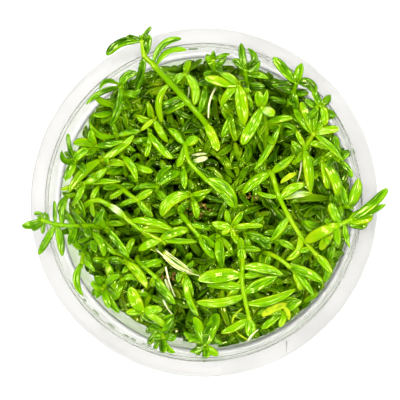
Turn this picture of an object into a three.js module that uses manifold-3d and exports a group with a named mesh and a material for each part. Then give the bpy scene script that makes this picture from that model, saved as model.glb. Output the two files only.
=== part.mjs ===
// Green rotala growing in a clear tissue-culture cup.
// Millimetres, +Z up, origin at the centre of the cup's underside, +Y towards the photograph's top.
import * as THREE from 'three';
import { mergeVertices } from 'three/addons/utils/BufferGeometryUtils.js';
import Module from 'manifold-3d';

const wasm = await Module();
wasm.setup();

// Driving dimensions of the cup
const CUP_HEIGHT = 50;
const FLANGE_RADIUS = 45;
const FLANGE_THICKNESS = 0.9;
const RIM_DROP = 1.5;
const NECK_RADIUS = 40.1;
const BEAD_HEIGHT = 0.3;
const BEAD_START = 0.3;
const BEAD_WIDTH = 0.5;
const BEAD_END = 1;
const NECK_DRAFT = 0.4;
const SHOULDER_HEIGHT = 42;
const SHOULDER_RADIUS = 38.6;
const FLOOR_RADIUS = 32.4;
const WALL = 0.8;
const FLOOR = 1.2;
const CUP_SIDES = 40;

// Driving dimensions of what fills it
const GAP = 0.3;
const GEL_TOP = 9.5;
const GEL_DIP = 0.9;
const GEL_RIM_DIP = 0.7;
const GEL_RIM = 2;
const GEL_CLEARANCE = 0.4;
const UNDERGROWTH_SIDES = 24;
const UNDERGROWTH_TOP = 36.5;
const UNDERGROWTH_EDGE = 35;
const UNDERGROWTH_WAIST = 29;
const UNDERGROWTH_RINGS = [28, 19, 10];
const WALL_CLEARANCE = 1.3;
const FOOT_CLEARANCE = 1.6;
const FOOT_HEIGHT = 20;
const FOOT_SHARE = 0.86;
const STEM_RADIUS = 0.7;
const STEM_SIDES = 3;
const STEM_STEPS = 3;
const LEAF_THICKNESS = 0.5;
const EDGE_SPARE = 1.5;
const KEEL_SPARE = 1.3;
const LEAF_SEAT = 0.8;
const SHORT_LEAF = 7.8;
const STRAIGHT_BOW = 0.6;

// The shoots were measured as seen from above, on the plane of the flange.
const EYE = new THREE.Vector3(28, -13, 350);

// A leaf's rings: share of its length, share of its width
const LONG_LEAF_RINGS = [[0.18, 0.66], [0.52, 1], [0.86, 0.84]];
const SHORT_LEAF_RINGS = [[0.28, 0.8], [0.8, 0.92]];

// Where a shoot's foot may stand, and how far a leaf may swing or lift, to keep clear of its neighbours
const FOOT_MOVES = [[0, 0], [2.2, 0], [-2.2, 0], [0, 2.2], [0, -2.2], [3, 3], [-3, 3], [3, -3], [-3, -3]];
const LEAF_MOVES = [
  [0, 0], [0, 1.1], [0, -1.1], [0.6, 0.6], [-0.6, 0.6], [0, 2.2], [0, -2.2], [0.8, -1], [-0.8, -1],
  [1, 2], [-1, 2], [0, 3.4], [0, -3.4],
];

// The undergrowth's swells: height, radians to the millimetre across and up, and where they start
const SWELL = { height: 1.5, across: 0.34, up: 0.29, acrossStart: 1, upStart: -0.5 };

// The banks of undergrowth up the wall: height, the radii each climbs between, its middle's direction,
// and the angle from there to where it ends
const BANKS = [
  { height: 5.5, foot: 27, brow: 36, heading: -0.15, halfWidth: 1.57 },
  { height: 5.5, foot: 28, brow: 36, heading: 2.16, halfWidth: 0.8 },
];

// Hollows between the shoots, where the undergrowth lies deeper: x, y, radius, depth
const HOLLOWS = [
  [1, -2, 5, 9], [-24, -5, 4, 7], [-13, -24, 5, 8], [28, 13, 5, 7], [13, -13, 5, 7], [-17, 7, 4, 6],
  [20, 16, 4, 6], [3, 27, 5, 7], [-3, -21, 5, 6], [6, -26, 4, 6],
];

// Each shoot: the stem's points as seen [across, up, height], then its leaves,
// each [stem point it grows from, tip across, tip up, tip height, width, sideways bow, upward arch].
const SHOOTS = [
  // Long shoot that leans out over the upper left rim
  {
    stem: [[1, 20.3, 40], [-5, 27.3, 45], [-12.6, 35.6, 51.8], [-15, 38.2, 53.4], [-15.6, 42.2, 54.6]],
    leaves: [
      [0, 4.2, 13, 41, 2.3, 0.3, 1], [4, -25, 38.3, 53.6, 2, -1.5, 0.8],
      [4, -19.8, 43, 55, 1.3, -0.2, 0], [4, -13.1, 45.6, 55.6, 1.1, 0.4, 0],
      [3, -13.9, 43.6, 54.8, 2.1, -0.2, 0.4], [3, -16.9, 29.3, 47.5, 1.7, 0.4, 1.5],
      [2, -5.2, 42.3, 53.6, 1.6, 2, 0.6], [1.9, -3.9, 39.3, 52.6, 1.4, 1.8, 0.6],
      [1.4, -10.3, 20.6, 43, 1.7, -1.8, 1], [1, -11.5, 24.7, 44, 1.8, 0.5, 0.6],
      [0.8, -9.7, 23, 41.5, 1.6, 0, 0.8],
    ],
  },
  // Yellow-tipped pair left of it
  {
    stem: [[-12.8, 19.5, 35], [-12.2, 21.6, 41.5]],
    leaves: [
      [1, -15.9, 18.4, 41, 1.4, 0, 0.6], [1, -8.8, 15.3, 39.5, 1.9, -0.3, 1],
      [0.6, -17.2, 22.6, 39.5, 1.8, 0.5, 0.7],
    ],
  },
  // Upper left, under the rim
  {
    stem: [[-19.6, 26.5, 42], [-21.4, 30.2, 48]],
    leaves: [
      [1, -26.8, 29.1, 50.2, 1.4, -1.8, 0.4], [1, -30.3, 25.5, 50.4, 1.4, -0.8, 0.6],
      [1, -16.7, 33.5, 48.8, 1.9, 1.1, 0.5], [1, -23.9, 19.8, 45, 1.7, 1.2, 1.2],
      [0.4, -16.4, 27.2, 43.5, 1.7, 0.4, 0.8],
    ],
  },
  {
    stem: [[-22, 22.3, 39], [-23.4, 25.2, 45]],
    leaves: [
      [1, -28, 27.4, 48.4, 1.7, 0.2, 0.4], [1, -19.3, 24.2, 44, 1.8, 0.3, 0.7],
      [0.5, -28.4, 22.7, 46.6, 1.6, 0.5, 0.5],
    ],
  },
  {
    stem: [[-21, 15, 36], [-22.3, 17.2, 43]],
    leaves: [
      [1, -29.4, 20.9, 47.8, 1.5, 1.9, 0.4], [1, -16, 18.4, 42.5, 1.7, 0.4, 0.6],
      [0.7, -17.2, 13.2, 40, 1.7, -0.5, 0.9],
    ],
  },
  {
    stem: [[-26, 12.6, 38], [-27.8, 14.9, 45]],
    leaves: [
      [1, -33.6, 15.2, 48.8, 2.2, -0.4, 0.4], [1, -20.4, 15.9, 46, 1.8, -0.3, 0.8],
      [1, -28.8, 18.8, 46.4, 1.9, 0.4, 0.6], [0.7, -31.6, 12.6, 45.4, 1.9, 0.3, 0.6],
    ],
  },
  // Broad lime pair on the left
  {
    stem: [[-24.3, 8.6, 37], [-26.2, 11.2, 44]],
    leaves: [
      [1, -17.7, 17.3, 45.4, 2.1, -0.5, 1.1], [1, -34.8, 2.4, 47.4, 2.3, -0.9, 1.2],
      [0.6, -19.6, 9.6, 41, 1.8, 0.4, 0.9],
    ],
  },
  // Dark tips against the left neck
  {
    stem: [[-30, 9, 40], [-33.5, 10.6, 48]],
    leaves: [
      [1, -35.1, 17.9, 50.5, 1.2, 0.4, 0.3], [1, -36.7, 13.5, 50.4, 1.4, 1.5, 0.3],
      [1, -35.8, 5.4, 49.2, 2.4, 0.2, 0.5], [1, -29.6, 13.7, 48, 2, 0.5, 0.5],
    ],
  },
  {
    stem: [[-26.6, 4.6, 39], [-31, 4.8, 45.6]],
    leaves: [
      [1, -24.8, 8.6, 45, 2, -0.4, 0.9], [1, -37, 3.2, 49.6, 1.3, 0.1, 0.4],
      [0.8, -21, 5.2, 43.4, 1.5, 0.3, 0.8], [1, -33.9, -1.2, 46.8, 1.5, 0.4, 0.5],
    ],
  },
  {
    stem: [[-31.8, 2, 42], [-35.2, 1.4, 48.4]],
    leaves: [[1, -35.4, -4.6, 49.4, 2.1, -1.3, 0.4], [0.5, -30.6, -4.2, 44, 1.6, 0.6, 0.7]],
  },
  // Long runner from the left wall towards the middle
  {
    stem: [
      [-31, -1.8, 40], [-26.8, 0.4, 45.4], [-21.7, -2.8, 45.6], [-15.8, -7.2, 44.6], [-10.2, -10.2, 43.4],
    ],
    leaves: [
      [1, -32.4, -4.2, 43, 1.5, -1.2, 0.8], [1.4, -19.4, -4.5, 46.6, 1.6, 0.3, 0.5],
      [3, -7.2, -7.5, 43.6, 2.4, 0.6, 1], [2.5, -7.6, -7.4, 46.4, 1.9, 1, 1.2],
      [4, -3.5, -7.4, 43.8, 2.2, 0.7, 0.9], [4, -1, -10.4, 42.4, 1.5, 0, 0.7],
      [4, -16.4, -12.7, 42, 2.1, -0.3, 0.9], [3, -12.8, -9.9, 42.6, 1.7, 0.1, 0.4],
    ],
  },
  // Pale arched runner across the middle
  {
    stem: [[-5, 15.4, 38], [-4.3, 14.8, 43.5], [-3.2, 10.4, 46], [0.3, 6.5, 46.6], [5, 2.2, 46]],
    leaves: [
      [4, 8.2, -1.7, 45.6, 1.6, 0.4, 0.5], [3.2, 9, -1.9, 44.4, 2.3, 2.1, 1],
      [1, -0.6, 16.3, 44.4, 2.7, 0.3, 0.9], [1, -7.6, 18.7, 43.6, 1.7, 0.2, 0.7],
      [1, -6.4, 9, 42, 1.9, 0.6, 1],
    ],
  },
  {
    stem: [[-4.4, 5, 35], [-4.7, 9.2, 42]],
    leaves: [
      [1, -4.3, 3.2, 43.2, 1.8, 0, 1], [0.7, -11.1, 4.4, 42.2, 2.5, -0.8, 1.2],
      [0.5, -0.4, 11.2, 40, 1.6, 0.3, 0.7],
    ],
  },
  {
    stem: [[-12, 1.6, 35], [-11.4, 4, 40.6]],
    leaves: [
      [1, -18, 3, 41.4, 1.5, -0.6, 0.8], [1, -7.7, 9.3, 42.6, 1.8, 1, 0.9],
      [0.6, -8.6, -0.6, 39.4, 1.6, 0.2, 0.7],
    ],
  },
  {
    stem: [[-1.6, -0.8, 35], [-2.9, 1.8, 42]],
    leaves: [
      [1, -10.4, -3.8, 42.4, 2.8, -1.8, 1.2], [1, 3, 3.2, 43.4, 1.5, -0.3, 0.7],
      [0.6, -1.2, -4.4, 39.6, 1.7, 0.3, 0.8],
    ],
  },
  // Green diagonal right of the middle
  {
    stem: [[-6.4, -1.4, 37], [-3.2, -6, 43.4], [-0.6, -9, 44.6]],
    leaves: [
      [2, 3.4, -14.7, 43, 1.9, -0.2, 0.8], [2, 3.6, -12, 42.4, 1.6, 0.3, 0.4],
      [1, 2.2, -7, 43, 1.7, 0.3, 0.7], [0.7, -8.4, -5.6, 40, 1.6, 0.3, 0.7],
    ],
  },
  // Small star
  {
    stem: [[7, -8.2, 36], [8, -6.6, 43.2]],
    leaves: [
      [1, 2.6, -5.5, 43, 2.1, 0.2, 0.5], [1, 10.8, -2.5, 43.4, 1.7, 0, 0.5],
      [1, 15.9, -6.4, 43.6, 1.4, 0.2, 0.6], [1, 5.2, -8.4, 43, 1.5, 0, 0.3],
      [1, 8.4, -9.9, 42.8, 1.3, 0, 0.3],
    ],
  },
  // Long runner down the right
  {
    stem: [[17.9, 7.2, 43], [20.2, 0.6, 45.4], [25.1, -8.4, 46.4], [29.6, -14, 47]],
    leaves: [
      [0, 10.5, 1.9, 43, 2.8, -0.8, 1.1], [0, 24.2, 11.9, 45.6, 2, -0.2, 0.9],
      [0.9, 14.4, 2.4, 43.4, 1.3, 0.5, 0.6], [1, 27.3, 4.4, 46, 2.2, 0.8, 0.9],
      [1, 28.6, 1.9, 44.4, 1.7, 0.4, 0.4], [1.5, 17.8, -10.3, 44.6, 1.9, 0.1, 1],
      [2, 21.8, -15.1, 45.2, 1.7, 1.7, 0.7], [3, 33.4, -18.5, 47.2, 1.9, 0.2, 0.4],
      [2.6, 24.8, -12.7, 46.6, 1.3, 0.3, 0.5],
    ],
  },
  {
    stem: [[20.4, -7.6, 36], [19.4, -10.4, 42]],
    leaves: [
      [1, 23.9, -12.4, 42.6, 1.7, 0.3, 0.5], [1, 15.2, -9.4, 42, 1.6, 0.3, 0.6],
      [0.6, 23.6, -6.4, 41, 1.5, 0.4, 0.6],
    ],
  },
  // Cluster over the right rim
  {
    stem: [[31, -6.8, 46], [35.6, -6, 52.4], [38.6, -4.6, 53.6]],
    leaves: [
      [2, 47.5, 3.1, 54.6, 1.7, -0.5, 0.3], [2, 47.1, -0.9, 53.8, 1.4, -0.3, 0.3],
      [1.7, 43.8, -3.9, 53.2, 2.9, 0.2, 0.5], [1.5, 42.4, -6.4, 52.8, 2.5, 0.3, 0.4],
      [1.3, 37.9, -12.1, 52.4, 1.1, -0.2, 0.3], [1, 26.6, -10.5, 47, 2.3, -0.3, 1.1],
      [1, 30.5, -12.5, 48.4, 1.7, -0.5, 0.8], [1, 33.1, -0.6, 52, 2, 0.3, 0.4],
    ],
  },
  {
    stem: [[34.6, -2, 44], [37.9, -1.4, 51.4]],
    leaves: [[1, 40.2, 5.8, 53.2, 2.2, -0.5, 0.4], [0.8, 36.2, 3.8, 50.4, 1.3, 0.2, 0.4]],
  },
  {
    stem: [[29.6, 8, 41], [31.2, 10.4, 47.6]],
    leaves: [
      [1, 35.6, -1.4, 48.4, 2.5, 1.2, 1], [1, 32.4, 3, 46.4, 1.9, 0.2, 0.8],
      [0.7, 35.6, 13, 48, 1.8, 0.3, 0.5],
    ],
  },
  // Tall shoot on the upper right, its pairs fanned out
  {
    stem: [[26, 10.6, 40], [26.6, 13.4, 46], [29.1, 17.5, 50.4]],
    leaves: [
      [1, 28.1, 2.1, 45.4, 2.7, 0.4, 1.1], [2, 29.9, 25, 51.4, 1.3, 0.1, 0.3],
      [2, 35.4, 18.4, 51.8, 1.9, 0.3, 0.3], [2, 36.4, 10.1, 51, 1.6, 0.4, 0.7],
      [2, 25.6, 25.5, 49.4, 2, 0, 0.9], [1.9, 23.9, 23.6, 47.4, 1.8, 0.2, 0.9],
      [2, 32.3, 24.2, 52, 1.9, -0.4, 0.4], [1.1, 24.5, 18.1, 46.6, 1.3, 0.2, 0.5],
      [1.4, 33.4, 13, 48.4, 1.8, 0.4, 0.6],
    ],
  },
  // Dark blades over the upper right rim
  {
    stem: [[23.2, 26.4, 45], [24.6, 30.6, 52.4]],
    leaves: [
      [1, 25.9, 35.5, 53, 2.1, 0, 0.2], [1, 18.6, 37.2, 52.6, 2.3, 0.2, 0.5],
      [1, 29.4, 27.6, 52.2, 2.2, 1.3, 0.3], [0.7, 19.6, 30, 48.4, 1.8, -0.3, 0.5],
      [0.4, 24.3, 21.8, 44, 1.7, 0.2, 0.8],
    ],
  },
  {
    stem: [[28.8, 21.4, 46], [30.9, 24.6, 52.8]],
    leaves: [[1, 31.6, 19.4, 51.2, 1.8, 0.5, 0.4], [1, 28.9, 28.6, 51.6, 1.7, 0.3, 0.3]],
  },
  {
    stem: [[32.2, 11.6, 43], [35.6, 10.2, 49.4]],
    leaves: [
      [1, 38, 12.2, 50.6, 1.3, 0.1, 0.2], [1, 38.6, 5.9, 50.6, 1.6, 0.3, 0.3],
      [0.8, 34.2, 16.7, 49.6, 1.6, -0.3, 0.4],
    ],
  },
  // Lime node with a bud, upper middle right
  {
    stem: [[16.8, 13.4, 37], [16.6, 20, 43], [15.6, 24.4, 47]],
    leaves: [
      [2, 10.4, 14.6, 47, 2.8, 0.2, 1.2], [2, 14.7, 28.4, 49, 2.3, 0.2, 0.3],
      [2, 18.9, 22.2, 47.4, 2.3, 0, 0.4], [2, 17, 28.8, 48.6, 1.3, -0.2, 0.3],
      [1, 23.7, 21.3, 46, 1.7, 0.4, 0.6], [1, 14.6, 17, 42, 1.4, 0.2, 0.5],
    ],
  },
  {
    stem: [[20.8, 16.8, 37], [20.2, 19.8, 43]],
    leaves: [
      [1, 13.6, 8, 41.4, 1.8, 0.6, 1.2], [1, 24.9, 17.6, 43.6, 1.4, 0.8, 0.8],
      [0.8, 16.4, 18.6, 41.6, 1.3, -0.3, 0.6],
    ],
  },
  // Bright head at the top
  {
    stem: [[9.8, 25.8, 43], [9.6, 30.3, 50]],
    leaves: [
      [1, 10.9, 19.6, 48.2, 3, 0.3, 1.4], [1, 5, 24.4, 47.4, 2.2, -0.5, 1],
      [1, 0.8, 32.2, 49.2, 2.3, 0.3, 0.5], [1, 4.5, 33.3, 50.6, 1.8, -0.4, 0.3],
      [0.9, 13.1, 24, 48, 1.7, 0.4, 0.7],
    ],
  },
  {
    stem: [[11.8, 29.6, 45], [11.4, 34.2, 51.4]],
    leaves: [
      [1, 10.3, 41, 53.2, 1.7, 0.2, 0.2], [1, 12, 39.6, 53, 1.7, -2.1, 0.2],
      [1, 15.1, 36.3, 52.2, 1.8, -0.6, 0.2], [1, 7.9, 36.7, 52, 1.9, -0.3, 0.2],
      [0.7, 17.4, 31.6, 49.6, 1.6, 0.4, 0.4],
    ],
  },
  {
    stem: [[3.8, 31, 43], [3, 36.9, 50.2]],
    leaves: [
      [1, 7.4, 38.1, 51.2, 1, 0.3, 0.2], [1, 3.1, 39.1, 51.4, 1.1, 0, 0.1],
      [1, 0.9, 37.5, 50.6, 1.3, 0.2, 0.2], [1, 1.7, 35.6, 49.8, 1.3, 0, 0.1],
      [0.8, 5.2, 34.8, 48.4, 1.3, 0.2, 0.3],
    ],
  },
  {
    stem: [[-5, 28.6, 39], [-4.2, 33.4, 46.4]],
    leaves: [
      [1, -3, 36.5, 48.4, 1.8, 0.3, 0.2], [1, -7.7, 29.6, 45.6, 1.8, -0.5, 0.7],
      [1, -1.9, 25, 45, 2.1, 1.5, 1], [0.7, -9.6, 33.2, 46.2, 1.7, 0.2, 0.5],
    ],
  },
  {
    stem: [[1.4, 25.4, 38], [0.9, 30, 44.4]],
    leaves: [[1, -0.6, 22.8, 42.6, 1.7, 0.3, 0.9], [0.5, 4.3, 26, 41, 1.4, 0.2, 0.6]],
  },
  {
    stem: [[7.4, 19, 36], [7.8, 22.6, 42.4]],
    leaves: [
      [1, 5.2, 16.6, 41.6, 1.8, 0.3, 0.9], [1, 4.6, 27.8, 43.4, 1.8, 0.3, 0.7],
      [1, 9, 15.6, 41, 1.6, -0.3, 0.9], [0.7, 11.8, 18.8, 40.4, 1.6, 0.2, 0.6],
    ],
  },
  {
    stem: [[-13.4, 14.6, 35], [-13.4, 18, 40.4]],
    leaves: [
      [1, -7.5, 11.2, 41, 1.8, -0.6, 0.9], [0.6, -18.2, 15.6, 39.8, 1.7, 0.3, 0.7],
      [0.8, -14.6, 11.6, 39.2, 1.6, 0.3, 0.7],
    ],
  },
  {
    stem: [[-19.4, 6.6, 35], [-20.8, 12.2, 41.6]],
    leaves: [
      [1, -16.9, 5.4, 42.4, 1.9, 0.9, 1], [0.6, -12.7, 7.7, 41.4, 1.9, 0.2, 0.8],
      [0.7, -26, 8.6, 41, 1.6, 0.3, 0.7],
    ],
  },
  {
    stem: [[-21.6, 4, 38], [-18.8, 1.8, 42], [-16.4, 0.2, 43]],
    leaves: [
      [2, -12.7, 2.8, 43.8, 1.7, 0.3, 0.5], [2, -12.6, -4, 42.6, 1.6, -0.2, 0.8],
      [2, -21.4, -1.1, 42.6, 1.3, -0.3, 0.5], [0.5, -24, 0.8, 41.6, 1.5, 0.2, 0.5],
    ],
  },
  {
    stem: [[-24, -4, 37], [-24.7, -7.2, 43.6]],
    leaves: [
      [1, -18.9, -14.5, 43.2, 1.8, 0.2, 1.1], [1, -28, -2, 43, 1.8, 0.2, 0.7],
      [0.6, -20, -6, 40.6, 1.6, 0.3, 0.7],
    ],
  },
  {
    stem: [[-28, -10.6, 39], [-28.6, -7.8, 45.4]],
    leaves: [
      [1, -25.4, -14.2, 44, 2, 0.9, 1], [0.8, -22.3, -13.8, 42.4, 1.5, 0.2, 0.7],
      [1, -32.6, -10.4, 46.6, 1.6, 0.3, 0.5],
    ],
  },
  // Cluster over the left rim
  {
    stem: [[-28.4, -6.3, 46.6], [-33.5, -6.3, 51.2], [-38.4, -5.8, 53.4], [-42, -4.6, 54.4]],
    leaves: [
      [3, -47.2, -6, 54.2, 2, 0.7, 0.3], [3, -44, -3.3, 55, 1.1, -0.9, 0.2],
      [2.6, -41.5, -2.7, 54.6, 1, -0.5, 0.2], [3, -44.6, -7.4, 53.6, 1.2, 0.4, 0.2],
      [2.8, -41.8, -8.3, 53.2, 1.3, 0.1, 0.1], [2, -42.8, -13.8, 52.8, 1.7, 0.2, 0.4],
      [1.9, -36.4, -14.2, 52.2, 1.8, 0.3, 0.4], [2, -38.6, 0.3, 54.2, 1.1, 0, 0.2],
      [1.6, -36.1, -0.5, 52.4, 1.5, 0.2, 0.3], [1.2, -32.7, -10.4, 50.6, 1.8, 0.2, 0.4],
    ],
  },
  {
    stem: [[-30.2, -11.4, 42], [-31.3, -16.2, 48.4]],
    leaves: [
      [1, -30.8, -24.5, 50.6, 1.7, -1.6, 0.3], [0.8, -27.8, -18.2, 46.6, 1.5, 0.3, 0.5],
      [0.5, -31.6, -13.2, 47, 1.3, 0.1, 0.3],
    ],
  },
  {
    stem: [[-23.4, -12.8, 36], [-24.9, -15.8, 42.6]],
    leaves: [
      [1, -22.6, -22.7, 42.4, 1.9, 0.3, 1], [0.8, -28.4, -14.8, 43.6, 1.7, 0.3, 0.5],
      [0.7, -20.4, -15.8, 40.6, 1.6, 0.3, 0.7],
    ],
  },
  {
    stem: [[-19.2, -13, 36], [-20, -15.6, 42.6]],
    leaves: [[1, -14.2, -22.4, 43.6, 2.4, 0.8, 1.3], [0.6, -17.6, -9.6, 40, 1.6, 0.2, 0.6]],
  },
  {
    stem: [[-16.6, -15.3, 40], [-11.6, -19.8, 42.6]],
    leaves: [
      [1, -6.8, -26.5, 42.6, 2.4, -0.3, 1], [0.9, -13, -22, 40.8, 1.8, 0.2, 0.5],
      [0.4, -10.2, -15.4, 40.6, 1.6, 0.3, 0.7],
    ],
  },
  {
    stem: [[-21.4, -17.4, 36], [-20.6, -20.6, 41.4]],
    leaves: [
      [1, -15.8, -20.6, 40.8, 1.7, 1.1, 0.8], [1, -22.8, -25.4, 43, 2.7, -0.2, 0.8],
      [0.7, -26, -19.4, 42, 1.6, 0.3, 0.5],
    ],
  },
  // Glossy head at the lower left
  {
    stem: [[-13.6, -24.8, 38], [-15.3, -28.6, 45]],
    leaves: [
      [1, -18.5, -22, 45.8, 2.9, 0.3, 0.8], [1, -10.1, -27.8, 45.4, 2.1, 0.2, 0.7],
      [1, -9, -32.5, 46.4, 1.9, 0.4, 0.6], [1, -7.7, -31, 44.2, 1.5, 0.6, 0.5],
      [0.8, -19.6, -28.6, 45.6, 1.9, 0.2, 0.4],
    ],
  },
  // Hooked stub at the bottom rim
  {
    stem: [[-11, -31.6, 42], [-9.7, -35.4, 50]],
    leaves: [
      [1, -6.6, -35.4, 50.6, 2, 0.5, 0.3], [1, -9.6, -39, 51.8, 1.9, -0.2, 0.1],
      [1, -6.8, -38.9, 51.6, 1.4, -0.7, 0.1], [0.8, -12.4, -34.9, 49, 1.6, 0.2, 0.2],
    ],
  },
  {
    stem: [[-24, -20.4, 39], [-26, -23, 46.4]],
    leaves: [
      [1, -28.6, -20.6, 47.8, 1.6, 0.2, 0.3], [1, -27.4, -25, 48.2, 1.5, 0.1, 0.2],
      [1, -24, -27.6, 48, 1.7, 0.2, 0.3], [0.7, -21.4, -28.8, 46.2, 1.6, -0.4, 0.5],
    ],
  },
  // Short star against the bottom neck, with two broad leaves standing up
  {
    stem: [[0.8, -33, 44], [1, -37.3, 50.4]],
    leaves: [
      [1, -2, -29.7, 46.4, 2.4, -0.3, 0.5], [1, 4.3, -28.9, 46.4, 2.9, 0.3, 0.6],
      [1, -3.1, -38.7, 51.2, 1.5, 0.2, 0.1], [1, 1.2, -40.2, 51.8, 1.7, 0.2, 0.1],
      [1, 4.4, -39.4, 51.8, 1.8, -0.2, 0.2], [0.8, -4.6, -33.8, 47, 1.6, 0.2, 0.4],
    ],
  },
  {
    stem: [[-4.4, -15.6, 36], [-4.4, -18.8, 42]],
    leaves: [
      [1, -2.2, -24.7, 42.6, 1.5, 0.2, 0.9], [1, -0.8, -29.6, 43.6, 1.7, -0.8, 1.3],
      [0.8, -8.8, -13.4, 41, 1.7, 0.3, 0.8],
    ],
  },
  // Tall shoot at the lower right, leaves swept to both sides
  {
    stem: [
      [9.2, -11.6, 38], [10.6, -15.2, 44.6], [10.4, -20, 47.2], [11.2, -25.2, 47.8], [12.4, -30.6, 47.4],
    ],
    leaves: [
      [1.8, -1, -20.3, 47.4, 3, -0.5, 1], [2.4, 1.3, -21.6, 45.6, 1.8, -0.3, 0.6],
      [2.8, -1.3, -25.9, 46.6, 1.9, 1, 0.9], [1.4, 20.9, -18.9, 47, 2.1, 0.8, 0.9],
      [1.9, 18, -18.2, 45.4, 1.6, 0.2, 0.6], [2.7, 19.5, -19.3, 48.4, 2.2, 0.2, 0.9],
      [3.2, 24.2, -22.4, 48, 1.9, -0.9, 0.8], [4, 12.7, -35, 48, 2.2, 0.1, 0.3],
      [1, 10.2, -12.2, 45.4, 1.8, 0, 0.2], [3.9, 4.9, -33.8, 47.2, 1.8, 0.3, 0.5],
      [2, 5.6, -27, 45, 1.7, 0.3, 0.8],
    ],
  },
  {
    stem: [[16.9, -13.4, 41], [20, -14.8, 44.6], [24, -18, 45.6]],
    leaves: [
      [2, 25.5, -22.8, 45.4, 1.8, 0.3, 0.6], [1.6, 31, -20.7, 46.8, 2.1, 0.4, 0.9],
      [0.2, 16.3, -17.6, 42.4, 1.5, 0.1, 0.4], [2, 28.8, -24.4, 46.8, 1.6, 0.3, 0.5],
    ],
  },
  {
    stem: [[10.8, -6.2, 34], [11.2, -8.6, 40.6]],
    leaves: [
      [1, 17.7, -12.4, 41.4, 2.5, 0.9, 1], [1, 13.6, -15, 40.4, 1.9, -0.3, 0.8],
      [0.6, 16, -4, 39.6, 1.6, 0.3, 0.7],
    ],
  },
  {
    stem: [[4, -6.6, 35], [4.4, -9.4, 42.4]],
    leaves: [
      [1, 5.4, -17.4, 42.8, 2.6, 0.1, 1.1], [0.8, 2.8, -16.6, 40.4, 1.6, 0.2, 0.8],
      [0.9, 8.2, -13.8, 41.8, 1.5, 0.5, 0.7],
    ],
  },
  {
    stem: [[30.4, -13.8, 39], [33, -15.2, 45.6]],
    leaves: [
      [1, 33.6, -11.4, 46.8, 2, 0.2, 0.4], [1, 31.4, -20.6, 47.6, 1.8, 0.3, 0.5],
      [0.7, 35, -9.6, 47.2, 1.5, 0.3, 0.4],
    ],
  },
  {
    stem: [[19.4, -26, 39], [21.4, -28.6, 45.4]],
    leaves: [
      [1, 16.6, -28.9, 45.6, 1.6, -0.3, 0.5], [1, 25.6, -25.4, 47.4, 1.8, 0.3, 0.4],
      [1, 20, -32.2, 46.6, 1.6, 0.2, 0.3], [0.7, 15.4, -32.6, 45, 1.6, 0.3, 0.5],
    ],
  },
];

// Colours
const CLEAR_PLASTIC = { color: 0xeef1f0, roughness: 0.15, metalness: 0, transparent: true, opacity: 0.35 };
const NUTRIENT_GEL = { color: 0x8a7d4e, roughness: 0.25, metalness: 0 };
const DEEP_GREEN = { color: 0x2c4f12, roughness: 0.6, metalness: 0 };
const LEAF_GREENS = [0x6aa80c, 0x4c8f0c, 0x86c10e, 0x3c7a12, 0x9fd010];

// A manifold solid from a three.js geometry whose shared corners are welded
function solid(geometry) {
  geometry.deleteAttribute('normal');
  geometry.deleteAttribute('uv');
  const welded = mergeVertices(geometry, 1e-4);
  const corners = welded.index.array;
  const faces = [];
  for (let i = 0; i < corners.length; i += 3) {
    const [a, b, c] = [corners[i], corners[i + 1], corners[i + 2]];
    if (a !== b && b !== c && c !== a) faces.push(a, b, c);
  }
  return new wasm.Manifold(new wasm.Mesh({
    numProp: 3,
    vertProperties: welded.attributes.position.array,
    triVerts: new Uint32Array(faces),
  }));
}

// A three.js mesh from a manifold solid
function piece(name, body, finish) {
  const { vertProperties, triVerts } = body.getMesh();
  const geometry = new THREE.BufferGeometry();
  geometry.setAttribute('position', new THREE.BufferAttribute(new Float32Array(vertProperties), 3));
  geometry.setIndex(new THREE.BufferAttribute(new Uint32Array(triVerts), 1));
  geometry.computeVertexNormals();
  const mesh = new THREE.Mesh(geometry, new THREE.MeshStandardMaterial(finish));
  mesh.name = name;
  return mesh;
}

// A turned body about the Z axis, its profile given as [radius, height] from the lower axis point round
function turned(profile, sides) {
  const points = profile.map(([radius, height]) => new THREE.Vector2(radius, height));
  return new THREE.LatheGeometry(points, sides).rotateX(Math.PI / 2);
}

// The wall's inner radius at a height
function wallRadius(height) {
  return FLOOR_RADIUS + (SHOULDER_RADIUS - FLOOR_RADIUS) * (height - FLOOR) / (SHOULDER_HEIGHT - FLOOR);
}

function cupSolid() {
  const under = CUP_HEIGHT - FLANGE_THICKNESS;
  return solid(turned([
    [0, 0],
    [FLOOR_RADIUS, 0],
    [FLOOR_RADIUS + WALL, WALL],
    [SHOULDER_RADIUS + WALL, SHOULDER_HEIGHT - WALL],
    [NECK_RADIUS + WALL / 2, SHOULDER_HEIGHT],
    [NECK_RADIUS + WALL, under],
    [FLANGE_RADIUS - WALL, under],
    [FLANGE_RADIUS - WALL, CUP_HEIGHT - RIM_DROP],
    [FLANGE_RADIUS, CUP_HEIGHT - RIM_DROP],
    [FLANGE_RADIUS, CUP_HEIGHT],
    [NECK_RADIUS + BEAD_END, CUP_HEIGHT],
    [NECK_RADIUS + BEAD_START + BEAD_WIDTH, CUP_HEIGHT + BEAD_HEIGHT],
    [NECK_RADIUS + BEAD_START, CUP_HEIGHT + BEAD_HEIGHT],
    [NECK_RADIUS, CUP_HEIGHT],
    [NECK_RADIUS - NECK_DRAFT, SHOULDER_HEIGHT + WALL],
    [SHOULDER_RADIUS, SHOULDER_HEIGHT],
    [FLOOR_RADIUS, FLOOR],
    [0, FLOOR],
  ], CUP_SIDES));
}

// The gel keeps clear of the floor and the wall, and creeps a little up the wall.
function gelSolid() {
  const low = FLOOR + GAP;
  return solid(turned([
    [0, low],
    [wallRadius(low) - GEL_CLEARANCE, low],
    [wallRadius(GEL_TOP) - GEL_CLEARANCE, GEL_TOP],
    [wallRadius(GEL_TOP) - GEL_RIM, GEL_TOP - GEL_RIM_DIP],
    [0, GEL_TOP - GEL_DIP],
  ], CUP_SIDES));
}

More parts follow.
